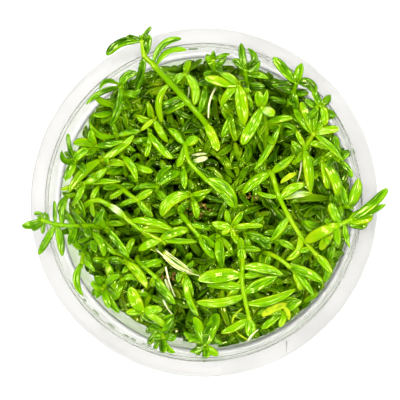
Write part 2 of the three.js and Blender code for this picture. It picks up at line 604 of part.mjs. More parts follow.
// The undergrowth's top rolls gently, climbs the wall at its banks, and sinks at the hollows.
function undergrowthRise(x, y) {
  const swell = Math.sin(SWELL.across * x + SWELL.acrossStart) * Math.cos(SWELL.up * y + SWELL.upStart);
  let rise = SWELL.height * swell;
  for (const bank of BANKS) {
    const climb = THREE.MathUtils.smoothstep(Math.hypot(x, y), bank.foot, bank.brow);
    const turn = Math.abs(Math.atan2(y, x) - bank.heading);
    const aside = Math.min(turn, 2 * Math.PI - turn, bank.halfWidth) / bank.halfWidth;
    rise += bank.height * climb * Math.sqrt(Math.max(0, Math.cos(aside * Math.PI / 2)));
  }
  for (const [hx, hy, radius, depth] of HOLLOWS) {
    rise -= depth * Math.exp(-((x - hx) ** 2 + (y - hy) ** 2) / radius ** 2);
  }
  return rise;
}

function undergrowthSolid(spare) {
  const low = GEL_TOP + GAP;
  const geometry = turned([
    [0, low - spare],
    [wallRadius(low) - FOOT_CLEARANCE, low - spare],
    [wallRadius(UNDERGROWTH_WAIST) - WALL_CLEARANCE + spare, UNDERGROWTH_WAIST],
    [wallRadius(UNDERGROWTH_EDGE) - WALL_CLEARANCE + spare, UNDERGROWTH_EDGE + spare],
    ...UNDERGROWTH_RINGS.map((radius) => [radius, UNDERGROWTH_TOP + spare]),
    [0, UNDERGROWTH_TOP + spare],
  ], UNDERGROWTH_SIDES);
  const position = geometry.attributes.position;
  for (let i = 0; i < position.count; i += 1) {
    const [x, y, z] = [position.getX(i), position.getY(i), position.getZ(i)];
    if (z <= UNDERGROWTH_WAIST) continue;
    const height = z + undergrowthRise(x, y);
    const reach = Math.hypot(x, y);
    const spreads = reach > UNDERGROWTH_RINGS[0] + 1;
    const share = spreads ? (wallRadius(height - spare) - WALL_CLEARANCE + spare) / reach : 1;
    position.setXYZ(i, x * share, y * share, height);
  }
  return solid(geometry);
}

// A point seen at [across, up] on the flange's plane, carried along the line of sight to its own height
function sighted([across, up, height]) {
  const share = (EYE.z - height) / (EYE.z - CUP_HEIGHT);
  return new THREE.Vector3(
    EYE.x + (across - EYE.x) * share,
    EYE.y + (up - EYE.y) * share,
    height,
  );
}

// The stem's curve, from its foot in the undergrowth up through its measured points
function stemCurve(points, [moveX, moveY]) {
  const seen = points.map(sighted);
  const [x, y] = [seen[0].x * FOOT_SHARE + moveX, seen[0].y * FOOT_SHARE + moveY];
  const foot = new THREE.Vector3(x, y, FOOT_HEIGHT);
  return new THREE.CatmullRomCurve3([foot, ...seen]);
}

// The straight steps that a stem's solid is built from
function stemSteps(curve) {
  return STEM_STEPS + 2 * (curve.points.length - 3);
}

function stemSolid(curve, spare) {
  const section = new THREE.Shape();
  for (let i = 0; i < STEM_SIDES; i += 1) {
    const angle = (2 * Math.PI * i) / STEM_SIDES;
    const x = (STEM_RADIUS + spare) * Math.cos(angle);
    const y = (STEM_RADIUS + spare) * Math.sin(angle);
    if (i === 0) section.moveTo(x, y);
    else section.lineTo(x, y);
  }
  section.closePath();
  return solid(new THREE.ExtrudeGeometry(section, { extrudePath: curve, steps: stemSteps(curve) }));
}

// A leaf is a ball drawn out along its midrib: rings of three corners, two blade edges and a keel.
function leafSolid(base, tip, width, bow, arch, spare) {
  const chord = new THREE.Vector3().subVectors(tip, base);
  const isSimple = chord.length() < SHORT_LEAF && Math.abs(bow) < STRAIGHT_BOW;
  const rings = isSimple ? SHORT_LEAF_RINGS : LONG_LEAF_RINGS;
  const aside = new THREE.Vector3(-chord.y, chord.x, 0).normalize();
  const middle = new THREE.Vector3().addVectors(base, tip).multiplyScalar(0.5);
  middle.addScaledVector(aside, 2 * bow);
  middle.z += 2 * arch;
  const midrib = new THREE.QuadraticBezierCurve3(base, middle, tip);
  const geometry = new THREE.SphereGeometry(1, 3, rings.length + 1, Math.PI / 6);
  const position = geometry.attributes.position;
  for (let i = 0; i < position.count; i += 1) {
    const [x, y, z] = [position.getX(i), position.getY(i), position.getZ(i)];
    const ring = Math.round((Math.acos(THREE.MathUtils.clamp(y, -1, 1)) / Math.PI) * (rings.length + 1));
    const [along, breadth] = ring === 0 ? [0, 0] : ring > rings.length ? [1, 0] : rings[ring - 1];
    const point = midrib.getPoint(along);
    if (breadth > 0) {
      const girth = Math.hypot(x, z);
      const forward = midrib.getTangent(along);
      const left = new THREE.Vector3(-forward.y, forward.x, 0).normalize();
      const up = new THREE.Vector3().crossVectors(forward, left);
      const [reach, depth] = [width * breadth / Math.sqrt(3), LEAF_THICKNESS / 1.5];
      point.addScaledVector(left, (x / girth) * (reach + spare * EDGE_SPARE));
      point.addScaledVector(up, (z / girth) * (depth + spare * KEEL_SPARE));
    }
    position.setXYZ(i, point.x, point.y, point.z);
  }
  return solid(geometry);
}

// True when a trial body meets none of the bodies that belong to other pieces
function isClear(trial, owner, placed) {
  const box = trial.boundingBox();
  for (const other of placed) {
    if (other.owner === owner) continue;
    const apart = [0, 1, 2].some((k) => box.min[k] > other.box.max[k] || box.max[k] < other.box.min[k]);
    if (!apart && trial.intersect(other.body).volume() > 0) return false;
  }
  return true;
}

function place(body, owner, placed) {
  placed.push({ body, owner, box: body.boundingBox() });
  return body;
}

function largestPart(body) {
  return body.decompose().reduce((best, part) => (part.volume() > best.volume() ? part : best));
}

const cup = cupSolid();
const undergrowth = undergrowthSolid(0);
const undergrowthSpace = undergrowthSolid(GAP);
const placed = [];
place(cup, 'cup', placed);

const stems = SHOOTS.map((shoot, owner) => {
  const curves = FOOT_MOVES.map((move) => stemCurve(shoot.stem, move));
  const curve = curves.find((trial) => isClear(stemSolid(trial, GAP), owner, placed)) ?? curves[0];
  return { curve, body: place(stemSolid(curve, 0), owner, placed) };
});

// Where a leaf leaves its stem's axis, near measured point number `at`, which the foot comes before
function leafBase(curve, at) {
  const seat = 1 - LEAF_SEAT / curve.getLength();
  const wanted = curve.getPoint(Math.min((at + 1) / (curve.points.length - 1), seat));
  const bends = curve.getSpacedPoints(stemSteps(curve));
  const feet = bends.slice(1).map((bend, i) => (
    new THREE.Line3(bends[i], bend).closestPointToPoint(wanted, true, new THREE.Vector3())
  ));
  return feet.reduce((best, foot) => (foot.distanceTo(wanted) < best.distanceTo(wanted) ? foot : best));
}

const shoots = SHOOTS.map((shoot, owner) => {
  let body = stems[owner].body;
  for (const [at, across, up, height, width, bow, arch] of shoot.leaves) {
    const base = leafBase(stems[owner].curve, at);
    for (const [swing, lift] of LEAF_MOVES) {
      const tip = sighted([across + swing, up + swing, height + lift]);
      const trial = leafSolid(base, tip, width, bow, arch + lift / 4, GAP);
      if (isClear(trial, owner, placed)) {
        body = body.add(place(leafSolid(base, tip, width, bow, arch + lift / 4, 0), owner, placed));
        break;
      }
    }
  }
  return largestPart(body.subtract(undergrowthSpace));
});

const plant = new THREE.Group();
plant.add(piece('cup', cup, CLEAR_PLASTIC));
plant.add(piece('gel', gelSolid(), NUTRIENT_GEL));
plant.add(piece('undergrowth', undergrowth, DEEP_GREEN));
shoots.forEach((body, i) => {
  const name = `shoot_${String(i + 1).padStart(2, '0')}`;
  const color = LEAF_GREENS[i % LEAF_GREENS.length];
  plant.add(piece(name, body, { color, roughness: 0.4, metalness: 0 }));
});

export default plant;
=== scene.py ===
"""Green rotala in a clear tissue-culture cup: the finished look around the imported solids."""
import random
from functools import cached_property
from math import cos, exp, hypot, pi, radians, sin, sqrt

import bpy
import numpy as np
from mathutils import Matrix, Vector
from mathutils.bvhtree import BVHTree


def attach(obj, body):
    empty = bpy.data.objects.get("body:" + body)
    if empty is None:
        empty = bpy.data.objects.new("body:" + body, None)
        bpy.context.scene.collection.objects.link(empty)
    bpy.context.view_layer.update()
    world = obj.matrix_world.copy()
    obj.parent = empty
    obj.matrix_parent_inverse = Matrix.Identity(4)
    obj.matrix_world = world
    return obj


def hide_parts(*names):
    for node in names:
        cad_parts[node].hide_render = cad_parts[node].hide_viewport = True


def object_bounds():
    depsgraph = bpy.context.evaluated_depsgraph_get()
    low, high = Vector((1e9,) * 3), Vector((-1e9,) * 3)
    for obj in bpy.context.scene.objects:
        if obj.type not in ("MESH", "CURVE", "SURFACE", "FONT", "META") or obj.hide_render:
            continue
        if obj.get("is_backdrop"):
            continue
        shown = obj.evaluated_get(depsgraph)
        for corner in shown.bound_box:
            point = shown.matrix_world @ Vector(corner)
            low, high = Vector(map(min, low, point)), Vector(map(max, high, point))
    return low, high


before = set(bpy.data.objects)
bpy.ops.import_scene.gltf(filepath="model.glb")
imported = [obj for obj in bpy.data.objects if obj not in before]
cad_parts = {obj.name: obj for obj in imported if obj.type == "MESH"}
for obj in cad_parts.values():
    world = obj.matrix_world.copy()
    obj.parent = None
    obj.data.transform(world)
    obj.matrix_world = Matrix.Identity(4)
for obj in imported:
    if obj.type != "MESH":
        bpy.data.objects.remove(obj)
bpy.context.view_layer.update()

MM = 0.001
SEED = 56
draw = random.Random(SEED).uniform

# Driving dimensions of the cup, in millimetres
CUP_HEIGHT = 50
FLANGE_RADIUS = 45
FLANGE_THICKNESS = 0.9
RIM_DROP = 1.5
NECK_RADIUS = 40.1
BEAD_HEIGHT = 0.3
SHOULDER_HEIGHT = 42
SHOULDER_RADIUS = 38.6
FLOOR_RADIUS = 32.4
WALL = 0.8
FLOOR = 1.2
CUP_SIDES = 192
# Above this height the inner wall is misted, and its green tint is a painted reflection of the leaves
MIST_FOOT = 34    # the wall's inner face is misted from here up

# Driving dimensions of what fills it
GAP = 0.3
GEL_TOP = 9.5
FOOT_HEIGHT = 20
FOOT_SHARE = 0.86
STEM_RADIUS = 0.72
STEM_SIDES = 8
LEAF_SEAT = 0.8
UNDERGROWTH_TOP = 36.5
WALL_GAP = 0.4        # from the wall to the gel, and to the undergrowth's stems and leaf tips
PRESSED_GAP = 0.25    # from the wall to what is pressed flat against it

# The camera, in millimetres. The shoots were read as it sees them, on the plane of the flange.
EYE = Vector((28, -13, 350))
AIM = Vector((-0.4, 0.35, 50))
LENS = 105.2

# Where a shoot's foot may stand, and how far a leaf may swing or lift, to keep clear of its neighbours
FOOT_MOVES = [(0, 0), (2.2, 0), (-2.2, 0), (0, 2.2), (0, -2.2), (3, 3), (-3, 3), (3, -3), (-3, -3)]
LEAF_MOVES = [
    (0, 0), (0, 1.1), (0, -1.1), (0.6, 0.6), (-0.6, 0.6), (0, 2.2), (0, -2.2), (0.8, -1), (-0.8, -1),
    (1, 2), (-1, 2), (0, 3.4), (0, -3.4),
]

# Dark gaps between the leaves as seen: (across, up, radius)
GAPS = [
    (-0.6, -1.6, 2.4), (3.4, -1.8, 1.3), (12.4, 0.8, 1.9), (12.2, -4.8, 1.2), (4.2, -8.2, 1.0), (-4, -11.8, 1.1),
    (-1.2, -13.8, 1), (0.4, -16.7, 1.1), (11.8, -13.4, 1.3), (-18.8, -1.8, 1.3), (-24.2, -5, 1.8), (-15, -5, 1.2),
    (-8.1, -5.5, 1.2), (-18.8, -11, 1.8), (-20.4, -17.5, 1.1), (-14.2, -14.8, 1.3), (20.6, 17, 1.6), (13, 14.6, 1.2),
    (18.8, 13.4, 1.2), (29, 12.1, 1.8), (22.5, 6.9, 1.0), (24.4, 1.4, 1.2), (21.2, -0.6, 1.1), (8, 11.4, 0.9),
    (9, 10.8, 0.8), (10.6, 8.4, 0.8), (2.6, 4.2, 0.8), (2.2, 11.2, 1.2), (-1.5, 4.4, 1.1), (-7.6, 22.3, 1.6),
    (-11.6, 17.6, 1.7), (3.4, 26.6, 1.3), (0.8, 25.2, 1.4), (3.3, 21.4, 1.0), (-7.8, 13.8, 1.5), (-4.2, 27.4, 1.2),
    (-17.6, 15, 1.2), (-20.8, 11.2, 1.4), (-14.7, 22.4, 1.0), (-12.5, -24.4, 1.6), (-7, -19.4, 1.4), (-4, -23, 1.1),
]
# Places along the wall that the leaves leave bare, as seen: (across, up, radius)
BARE = [
    (-34, -13, 1.7), (-31.6, -17.4, 1.6), (-29.4, -21, 1.9), (-20.4, -31.4, 1.8), (-17, -33.8, 1.5),
    (-6.6, -36.6, 1.3), (-31, 17, 2), (-8.4, 35.4, 1.4), (-4.6, 36.2, 1.6), (7.4, 36, 1.2), (-33.8, 4.2, 1),
]

# Each shoot: the stem's points as seen (across, up, height), then its leaves,
# each (stem point it grows from, tip across, tip up, tip height, width, sideways bow, upward arch)
SHOOTS = [
    # Long shoot that leans out over the upper left rim
    ([(1, 20.3, 40), (-5, 27.3, 45), (-12.6, 35.6, 51.8), (-15, 38.2, 53.4), (-15.6, 42.2, 54.6)],
     [(0, 4.2, 13, 41, 2.3, 0.3, 1), (4, -25, 38.3, 53.6, 2, -1.5, 0.8), (4, -19.8, 43, 55, 1.3, -0.2, 0),
      (4, -13.1, 45.6, 55.6, 1.1, 0.4, 0), (3, -13.9, 43.6, 54.8, 2.1, -0.2, 0.4),
      (3, -16.9, 29.3, 47.5, 1.7, 0.4, 1.5), (2, -5.2, 42.3, 53.6, 1.6, 2, 0.6),
      (1.9, -3.9, 39.3, 52.6, 1.4, 1.8, 0.6), (1.4, -10.3, 20.6, 43, 1.7, -1.8, 1),
      (1, -11.5, 24.7, 44, 1.8, 0.5, 0.6), (0.8, -9.7, 23, 41.5, 1.6, 0, 0.8)]),
    # Yellow-tipped pair left of it
    ([(-12.8, 19.5, 35), (-12.2, 21.6, 41.5)],
     [(1, -15.9, 18.4, 41, 1.4, 0, 0.6), (1, -8.8, 15.3, 39.5, 1.9, -0.3, 1),
      (0.6, -17.2, 22.6, 39.5, 1.8, 0.5, 0.7)]),
    # Upper left, under the rim
    ([(-19.6, 26.5, 42), (-21.4, 30.2, 48)],
     [(1, -26.8, 29.1, 50.2, 1.4, -1.8, 0.4), (1, -30.3, 25.5, 50.4, 1.4, -0.8, 0.6),
      (1, -16.7, 33.5, 48.8, 1.9, 1.1, 0.5), (1, -23.9, 19.8, 45, 1.7, 1.2, 1.2),
      (0.4, -16.4, 27.2, 43.5, 1.7, 0.4, 0.8)]),
    ([(-22, 22.3, 39), (-23.4, 25.2, 45)],
     [(1, -28, 27.4, 48.4, 1.7, 0.2, 0.4), (1, -19.3, 24.2, 44, 1.8, 0.3, 0.7),
      (0.5, -28.4, 22.7, 46.6, 1.6, 0.5, 0.5)]),
    ([(-21, 15, 36), (-22.3, 17.2, 43)],
     [(1, -29.4, 20.9, 47.8, 1.5, 1.9, 0.4), (1, -16, 18.4, 42.5, 1.7, 0.4, 0.6),
      (0.7, -17.2, 13.2, 40, 1.7, -0.5, 0.9)]),
    ([(-26, 12.6, 38), (-27.8, 14.9, 45)],
     [(1, -33.6, 15.2, 48.8, 2.2, -0.4, 0.4), (1, -20.4, 15.9, 46, 1.8, -0.3, 0.8),
      (1, -28.8, 18.8, 46.4, 1.9, 0.4, 0.6), (0.7, -31.6, 12.6, 45.4, 1.9, 0.3, 0.6)]),
    # Broad lime pair on the left
    ([(-24.3, 8.6, 37), (-26.2, 11.2, 44)],
     [(1, -17.7, 17.3, 45.4, 2.1, -0.5, 1.1), (1, -34.8, 2.4, 47.4, 2.3, -0.9, 1.2),
      (0.6, -19.6, 9.6, 41, 1.8, 0.4, 0.9)]),
    # Dark tips against the left neck
    ([(-30, 9, 40), (-33.5, 10.6, 48)],
     [(1, -35.1, 17.9, 50.5, 1.2, 0.4, 0.3), (1, -36.7, 13.5, 50.4, 1.4, 1.5, 0.3),
      (1, -35.8, 5.4, 49.2, 2.4, 0.2, 0.5), (1, -29.6, 13.7, 48, 2, 0.5, 0.5)]),
    ([(-26.6, 4.6, 39), (-31, 4.8, 45.6)],
     [(1, -24.8, 8.6, 45, 2, -0.4, 0.9), (1, -37, 3.2, 49.6, 1.3, 0.1, 0.4), (0.8, -21, 5.2, 43.4, 1.5, 0.3, 0.8),
      (1, -33.9, -1.2, 46.8, 1.5, 0.4, 0.5)]),
    ([(-31.8, 2, 42), (-35.2, 1.4, 48.4)],
     [(1, -35.4, -4.6, 49.4, 2.1, -1.3, 0.4), (0.5, -30.6, -4.2, 44, 1.6, 0.6, 0.7)]),
    # Long runner from the left wall towards the middle
    ([(-31, -1.8, 40), (-26.8, 0.4, 45.4), (-21.7, -2.8, 45.6), (-15.8, -7.2, 44.6), (-10.2, -10.2, 43.4)],
     [(1, -32.4, -4.2, 43, 1.5, -1.2, 0.8), (1.4, -19.4, -4.5, 46.6, 1.6, 0.3, 0.5),
      (3, -7.2, -7.5, 43.6, 2.4, 0.6, 1), (2.5, -7.6, -7.4, 46.4, 1.9, 1, 1.2),
      (4, -3.5, -7.4, 43.8, 2.2, 0.7, 0.9), (4, -1, -10.4, 42.4, 1.5, 0, 0.7),
      (4, -16.4, -12.7, 42, 2.1, -0.3, 0.9), (3, -12.8, -9.9, 42.6, 1.7, 0.1, 0.4)]),
    # Pale arched runner across the middle
    ([(-5, 15.4, 38), (-4.3, 14.8, 43.5), (-3.2, 10.4, 46), (0.3, 6.5, 46.6), (5, 2.2, 46)],
     [(4, 8.2, -1.7, 45.6, 1.6, 0.4, 0.5), (3.2, 9, -1.9, 44.4, 2.3, 2.1, 1), (1, -0.6, 16.3, 44.4, 2.7, 0.3, 0.9),
      (1, -7.6, 18.7, 43.6, 1.7, 0.2, 0.7), (1, -6.4, 9, 42, 1.9, 0.6, 1)]),
    ([(-4.4, 5, 35), (-4.7, 9.2, 42)],
     [(1, -4.3, 3.2, 43.2, 1.8, 0, 1), (0.7, -11.1, 4.4, 42.2, 2.5, -0.8, 1.2),
      (0.5, -0.4, 11.2, 40, 1.6, 0.3, 0.7)]),
    ([(-12, 1.6, 35), (-11.4, 4, 40.6)],
     [(1, -18, 3, 41.4, 1.5, -0.6, 0.8), (1, -7.7, 9.3, 42.6, 1.8, 1, 0.9), (0.6, -8.6, -0.6, 39.4, 1.6, 0.2, 0.7)]),
    ([(-1.6, -0.8, 35), (-2.9, 1.8, 42)],
     [(1, -10.4, -3.8, 42.4, 2.8, -1.8, 1.2), (1, 3, 3.2, 43.4, 1.5, -0.3, 0.7),
      (0.6, -1.2, -4.4, 39.6, 1.7, 0.3, 0.8)]),
    # Green diagonal right of the middle
    ([(-6.4, -1.4, 37), (-3.2, -6, 43.4), (-0.6, -9, 44.6)],
     [(2, 3.4, -14.7, 43, 1.9, -0.2, 0.8), (2, 3.6, -12, 42.4, 1.6, 0.3, 0.4), (1, 2.2, -7, 43, 1.7, 0.3, 0.7),
      (0.7, -8.4, -5.6, 40, 1.6, 0.3, 0.7)]),
    # Small star
    ([(7, -8.2, 36), (8, -6.6, 43.2)],
     [(1, 2.6, -5.5, 43, 2.1, 0.2, 0.5), (1, 10.8, -2.5, 43.4, 1.7, 0, 0.5), (1, 15.9, -6.4, 43.6, 1.4, 0.2, 0.6),
      (1, 5.2, -8.4, 43, 1.5, 0, 0.3), (1, 8.4, -9.9, 42.8, 1.3, 0, 0.3)]),
    # Long runner down the right
    ([(17.9, 7.2, 43), (20.2, 0.6, 45.4), (25.1, -8.4, 46.4), (29.6, -14, 47)],
     [(0, 10.5, 1.9, 43, 2.8, -0.8, 1.1), (0, 24.2, 11.9, 45.6, 2, -0.2, 0.9),
      (0.9, 14.4, 2.4, 43.4, 1.3, 0.5, 0.6), (1, 27.3, 4.4, 46, 2.2, 0.8, 0.9), (1, 28.6, 1.9, 44.4, 1.7, 0.4, 0.4),
      (1.5, 17.8, -10.3, 44.6, 1.9, 0.1, 1), (2, 21.8, -15.1, 45.2, 1.7, 1.7, 0.7),
      (3, 33.4, -18.5, 47.2, 1.9, 0.2, 0.4), (2.6, 24.8, -12.7, 46.6, 1.3, 0.3, 0.5)]),
    ([(20.4, -7.6, 36), (19.4, -10.4, 42)],
     [(1, 23.9, -12.4, 42.6, 1.7, 0.3, 0.5), (1, 15.2, -9.4, 42, 1.6, 0.3, 0.6),
      (0.6, 23.6, -6.4, 41, 1.5, 0.4, 0.6)]),
    # Cluster over the right rim
    ([(31, -6.8, 46), (35.6, -6, 52.4), (38.6, -4.6, 53.6)],
     [(2, 47.5, 3.1, 54.6, 1.7, -0.5, 0.3), (2, 47.1, -0.9, 53.8, 1.4, -0.3, 0.3),
      (1.7, 43.8, -3.9, 53.2, 2.9, 0.2, 0.5), (1.5, 42.4, -6.4, 52.8, 2.5, 0.3, 0.4),
      (1.3, 37.9, -12.1, 52.4, 1.1, -0.2, 0.3), (1, 26.6, -10.5, 47, 2.3, -0.3, 1.1),
      (1, 30.5, -12.5, 48.4, 1.7, -0.5, 0.8), (1, 33.1, -0.6, 52, 2, 0.3, 0.4)]),
    ([(34.6, -2, 44), (37.9, -1.4, 51.4)],
     [(1, 40.2, 5.8, 53.2, 2.2, -0.5, 0.4), (0.8, 36.2, 3.8, 50.4, 1.3, 0.2, 0.4)]),
    ([(29.6, 8, 41), (31.2, 10.4, 47.6)],
     [(1, 35.6, -1.4, 48.4, 2.5, 1.2, 1), (1, 32.4, 3, 46.4, 1.9, 0.2, 0.8), (0.7, 35.6, 13, 48, 1.8, 0.3, 0.5)]),
    # Tall shoot on the upper right, its pairs fanned out
    ([(26, 10.6, 40), (26.6, 13.4, 46), (29.1, 17.5, 50.4)],
     [(1, 28.1, 2.1, 45.4, 2.7, 0.4, 1.1), (2, 29.9, 25, 51.4, 1.3, 0.1, 0.3),
      (2, 35.4, 18.4, 51.8, 1.9, 0.3, 0.3), (2, 36.4, 10.1, 51, 1.6, 0.4, 0.7), (2, 25.6, 25.5, 49.4, 2, 0, 0.9),
      (1.9, 23.9, 23.6, 47.4, 1.8, 0.2, 0.9), (2, 32.3, 24.2, 52, 1.9, -0.4, 0.4),
      (1.1, 24.5, 18.1, 46.6, 1.3, 0.2, 0.5), (1.4, 33.4, 13, 48.4, 1.8, 0.4, 0.6)]),
    # Dark blades over the upper right rim
    ([(23.2, 26.4, 45), (24.6, 30.6, 52.4)],
     [(1, 25.9, 35.5, 53, 2.1, 0, 0.2), (1, 18.6, 37.2, 52.6, 2.3, 0.2, 0.5), (1, 29.4, 27.6, 52.2, 2.2, 1.3, 0.3),
      (0.7, 19.6, 30, 48.4, 1.8, -0.3, 0.5), (0.4, 24.3, 21.8, 44, 1.7, 0.2, 0.8)]),
    ([(28.8, 21.4, 46), (30.9, 24.6, 52.8)],
     [(1, 31.6, 19.4, 51.2, 1.8, 0.5, 0.4), (1, 28.9, 28.6, 51.6, 1.7, 0.3, 0.3)]),
    ([(32.2, 11.6, 43), (35.6, 10.2, 49.4)],
     [(1, 38, 12.2, 50.6, 1.3, 0.1, 0.2), (1, 38.6, 5.9, 50.6, 1.6, 0.3, 0.3),
      (0.8, 34.2, 16.7, 49.6, 1.6, -0.3, 0.4)]),
    # Lime node with a bud, upper middle right
    ([(16.8, 13.4, 37), (16.6, 20, 43), (15.6, 24.4, 47)],
     [(2, 10.4, 14.6, 47, 2.8, 0.2, 1.2), (2, 14.7, 28.4, 49, 2.3, 0.2, 0.3), (2, 18.9, 22.2, 47.4, 2.3, 0, 0.4),
      (2, 17, 28.8, 48.6, 1.3, -0.2, 0.3), (1, 23.7, 21.3, 46, 1.7, 0.4, 0.6), (1, 14.6, 17, 42, 1.4, 0.2, 0.5)]),
    ([(20.8, 16.8, 37), (20.2, 19.8, 43)],
     [(1, 13.6, 8, 41.4, 1.8, 0.6, 1.2), (1, 24.9, 17.6, 43.6, 1.4, 0.8, 0.8),
      (0.8, 16.4, 18.6, 41.6, 1.3, -0.3, 0.6)]),
    # Bright head at the top
    ([(9.8, 25.8, 43), (9.6, 30.3, 50)],
     [(1, 10.9, 19.6, 48.2, 3, 0.3, 1.4), (1, 5, 24.4, 47.4, 2.2, -0.5, 1), (1, 0.8, 32.2, 49.2, 2.3, 0.3, 0.5),
      (1, 4.5, 33.3, 50.6, 1.8, -0.4, 0.3), (0.9, 13.1, 24, 48, 1.7, 0.4, 0.7)]),
    ([(11.8, 29.6, 45), (11.4, 34.2, 51.4)],
     [(1, 10.3, 41, 53.2, 1.7, 0.2, 0.2), (1, 12, 39.6, 53, 1.7, -2.1, 0.2), (1, 15.1, 36.3, 52.2, 1.8, -0.6, 0.2),
      (1, 7.9, 36.7, 52, 1.9, -0.3, 0.2), (0.7, 17.4, 31.6, 49.6, 1.6, 0.4, 0.4)]),
    ([(3.8, 31, 43), (3, 36.9, 50.2)],
     [(1, 7.4, 38.1, 51.2, 1, 0.3, 0.2), (1, 3.1, 39.1, 51.4, 1.1, 0, 0.1), (1, 0.9, 37.5, 50.6, 1.3, 0.2, 0.2),
      (1, 1.7, 35.6, 49.8, 1.3, 0, 0.1), (0.8, 5.2, 34.8, 48.4, 1.3, 0.2, 0.3)]),
    ([(-5, 28.6, 39), (-4.2, 33.4, 46.4)],
     [(1, -3, 36.5, 48.4, 1.8, 0.3, 0.2), (1, -7.7, 29.6, 45.6, 1.8, -0.5, 0.7), (1, -1.9, 25, 45, 2.1, 1.5, 1),
      (0.7, -9.6, 33.2, 46.2, 1.7, 0.2, 0.5)]),
    ([(1.4, 25.4, 38), (0.9, 30, 44.4)],
     [(1, -0.6, 22.8, 42.6, 1.7, 0.3, 0.9), (0.5, 4.3, 26, 41, 1.4, 0.2, 0.6)]),
    ([(7.4, 19, 36), (7.8, 22.6, 42.4)],
     [(1, 5.2, 16.6, 41.6, 1.8, 0.3, 0.9), (1, 4.6, 27.8, 43.4, 1.8, 0.3, 0.7), (1, 9, 15.6, 41, 1.6, -0.3, 0.9),
      (0.7, 11.8, 18.8, 40.4, 1.6, 0.2, 0.6)]),
    ([(-13.4, 14.6, 35), (-13.4, 18, 40.4)],
     [(1, -7.5, 11.2, 41, 1.8, -0.6, 0.9), (0.6, -18.2, 15.6, 39.8, 1.7, 0.3, 0.7),
      (0.8, -14.6, 11.6, 39.2, 1.6, 0.3, 0.7)]),
    ([(-19.4, 6.6, 35), (-20.8, 12.2, 41.6)],
     [(1, -16.9, 5.4, 42.4, 1.9, 0.9, 1), (0.6, -12.7, 7.7, 41.4, 1.9, 0.2, 0.8),
      (0.7, -26, 8.6, 41, 1.6, 0.3, 0.7)]),
    ([(-21.6, 4, 38), (-18.8, 1.8, 42), (-16.4, 0.2, 43)],
     [(2, -12.7, 2.8, 43.8, 1.7, 0.3, 0.5), (2, -12.6, -4, 42.6, 1.6, -0.2, 0.8),
      (2, -21.4, -1.1, 42.6, 1.3, -0.3, 0.5), (0.5, -24, 0.8, 41.6, 1.5, 0.2, 0.5)]),
    ([(-24, -4, 37), (-24.7, -7.2, 43.6)],
     [(1, -18.9, -14.5, 43.2, 1.8, 0.2, 1.1), (1, -28, -2, 43, 1.8, 0.2, 0.7), (0.6, -20, -6, 40.6, 1.6, 0.3, 0.7)]),
    ([(-28, -10.6, 39), (-28.6, -7.8, 45.4)],
     [(1, -25.4, -14.2, 44, 2, 0.9, 1), (0.8, -22.3, -13.8, 42.4, 1.5, 0.2, 0.7),
      (1, -32.6, -10.4, 46.6, 1.6, 0.3, 0.5)]),
    # Cluster over the left rim
    ([(-28.4, -6.3, 46.6), (-33.5, -6.3, 51.2), (-38.4, -5.8, 53.4), (-42, -4.6, 54.4)],
     [(3, -47.2, -6, 54.2, 2, 0.7, 0.3), (3, -44, -3.3, 55, 1.1, -0.9, 0.2),
      (2.6, -41.5, -2.7, 54.6, 1, -0.5, 0.2), (3, -44.6, -7.4, 53.6, 1.2, 0.4, 0.2),
      (2.8, -41.8, -8.3, 53.2, 1.3, 0.1, 0.1), (2, -42.8, -13.8, 52.8, 1.7, 0.2, 0.4),
      (1.9, -36.4, -14.2, 52.2, 1.8, 0.3, 0.4), (2, -38.6, 0.3, 54.2, 1.1, 0, 0.2),
      (1.6, -36.1, -0.5, 52.4, 1.5, 0.2, 0.3), (1.2, -32.7, -10.4, 50.6, 1.8, 0.2, 0.4)]),
    ([(-30.2, -11.4, 42), (-31.3, -16.2, 48.4)],
     [(1, -30.8, -24.5, 50.6, 1.7, -1.6, 0.3), (0.8, -27.8, -18.2, 46.6, 1.5, 0.3, 0.5),
      (0.5, -31.6, -13.2, 47, 1.3, 0.1, 0.3)]),
    ([(-23.4, -12.8, 36), (-24.9, -15.8, 42.6)],
     [(1, -22.6, -22.7, 42.4, 1.9, 0.3, 1), (0.8, -28.4, -14.8, 43.6, 1.7, 0.3, 0.5),
      (0.7, -20.4, -15.8, 40.6, 1.6, 0.3, 0.7)]),
    ([(-19.2, -13, 36), (-20, -15.6, 42.6)],
     [(1, -14.2, -22.4, 43.6, 2.4, 0.8, 1.3), (0.6, -17.6, -9.6, 40, 1.6, 0.2, 0.6)]),
    ([(-16.6, -15.3, 40), (-11.6, -19.8, 42.6)],
     [(1, -6.8, -26.5, 42.6, 2.4, -0.3, 1), (0.9, -13, -22, 40.8, 1.8, 0.2, 0.5),
      (0.4, -10.2, -15.4, 40.6, 1.6, 0.3, 0.7)]),
    ([(-21.4, -17.4, 36), (-20.6, -20.6, 41.4)],
     [(1, -15.8, -20.6, 40.8, 1.7, 1.1, 0.8), (1, -22.8, -25.4, 43, 2.7, -0.2, 0.8),
      (0.7, -26, -19.4, 42, 1.6, 0.3, 0.5)]),
    # Glossy head at the lower left
    ([(-13.6, -24.8, 38), (-15.3, -28.6, 45)],
     [(1, -18.5, -22, 45.8, 2.9, 0.3, 0.8), (1, -10.1, -27.8, 45.4, 2.1, 0.2, 0.7),
      (1, -9, -32.5, 46.4, 1.9, 0.4, 0.6), (1, -7.7, -31, 44.2, 1.5, 0.6, 0.5),
      (0.8, -19.6, -28.6, 45.6, 1.9, 0.2, 0.4)]),
    # Hooked stub at the bottom rim
    ([(-11, -31.6, 42), (-9.7, -35.4, 50)],
     [(1, -6.6, -35.4, 50.6, 2, 0.5, 0.3), (1, -9.6, -39, 51.8, 1.9, -0.2, 0.1),
      (1, -6.8, -38.9, 51.6, 1.4, -0.7, 0.1), (0.8, -12.4, -34.9, 49, 1.6, 0.2, 0.2)]),
    ([(-24, -20.4, 39), (-26, -23, 46.4)],
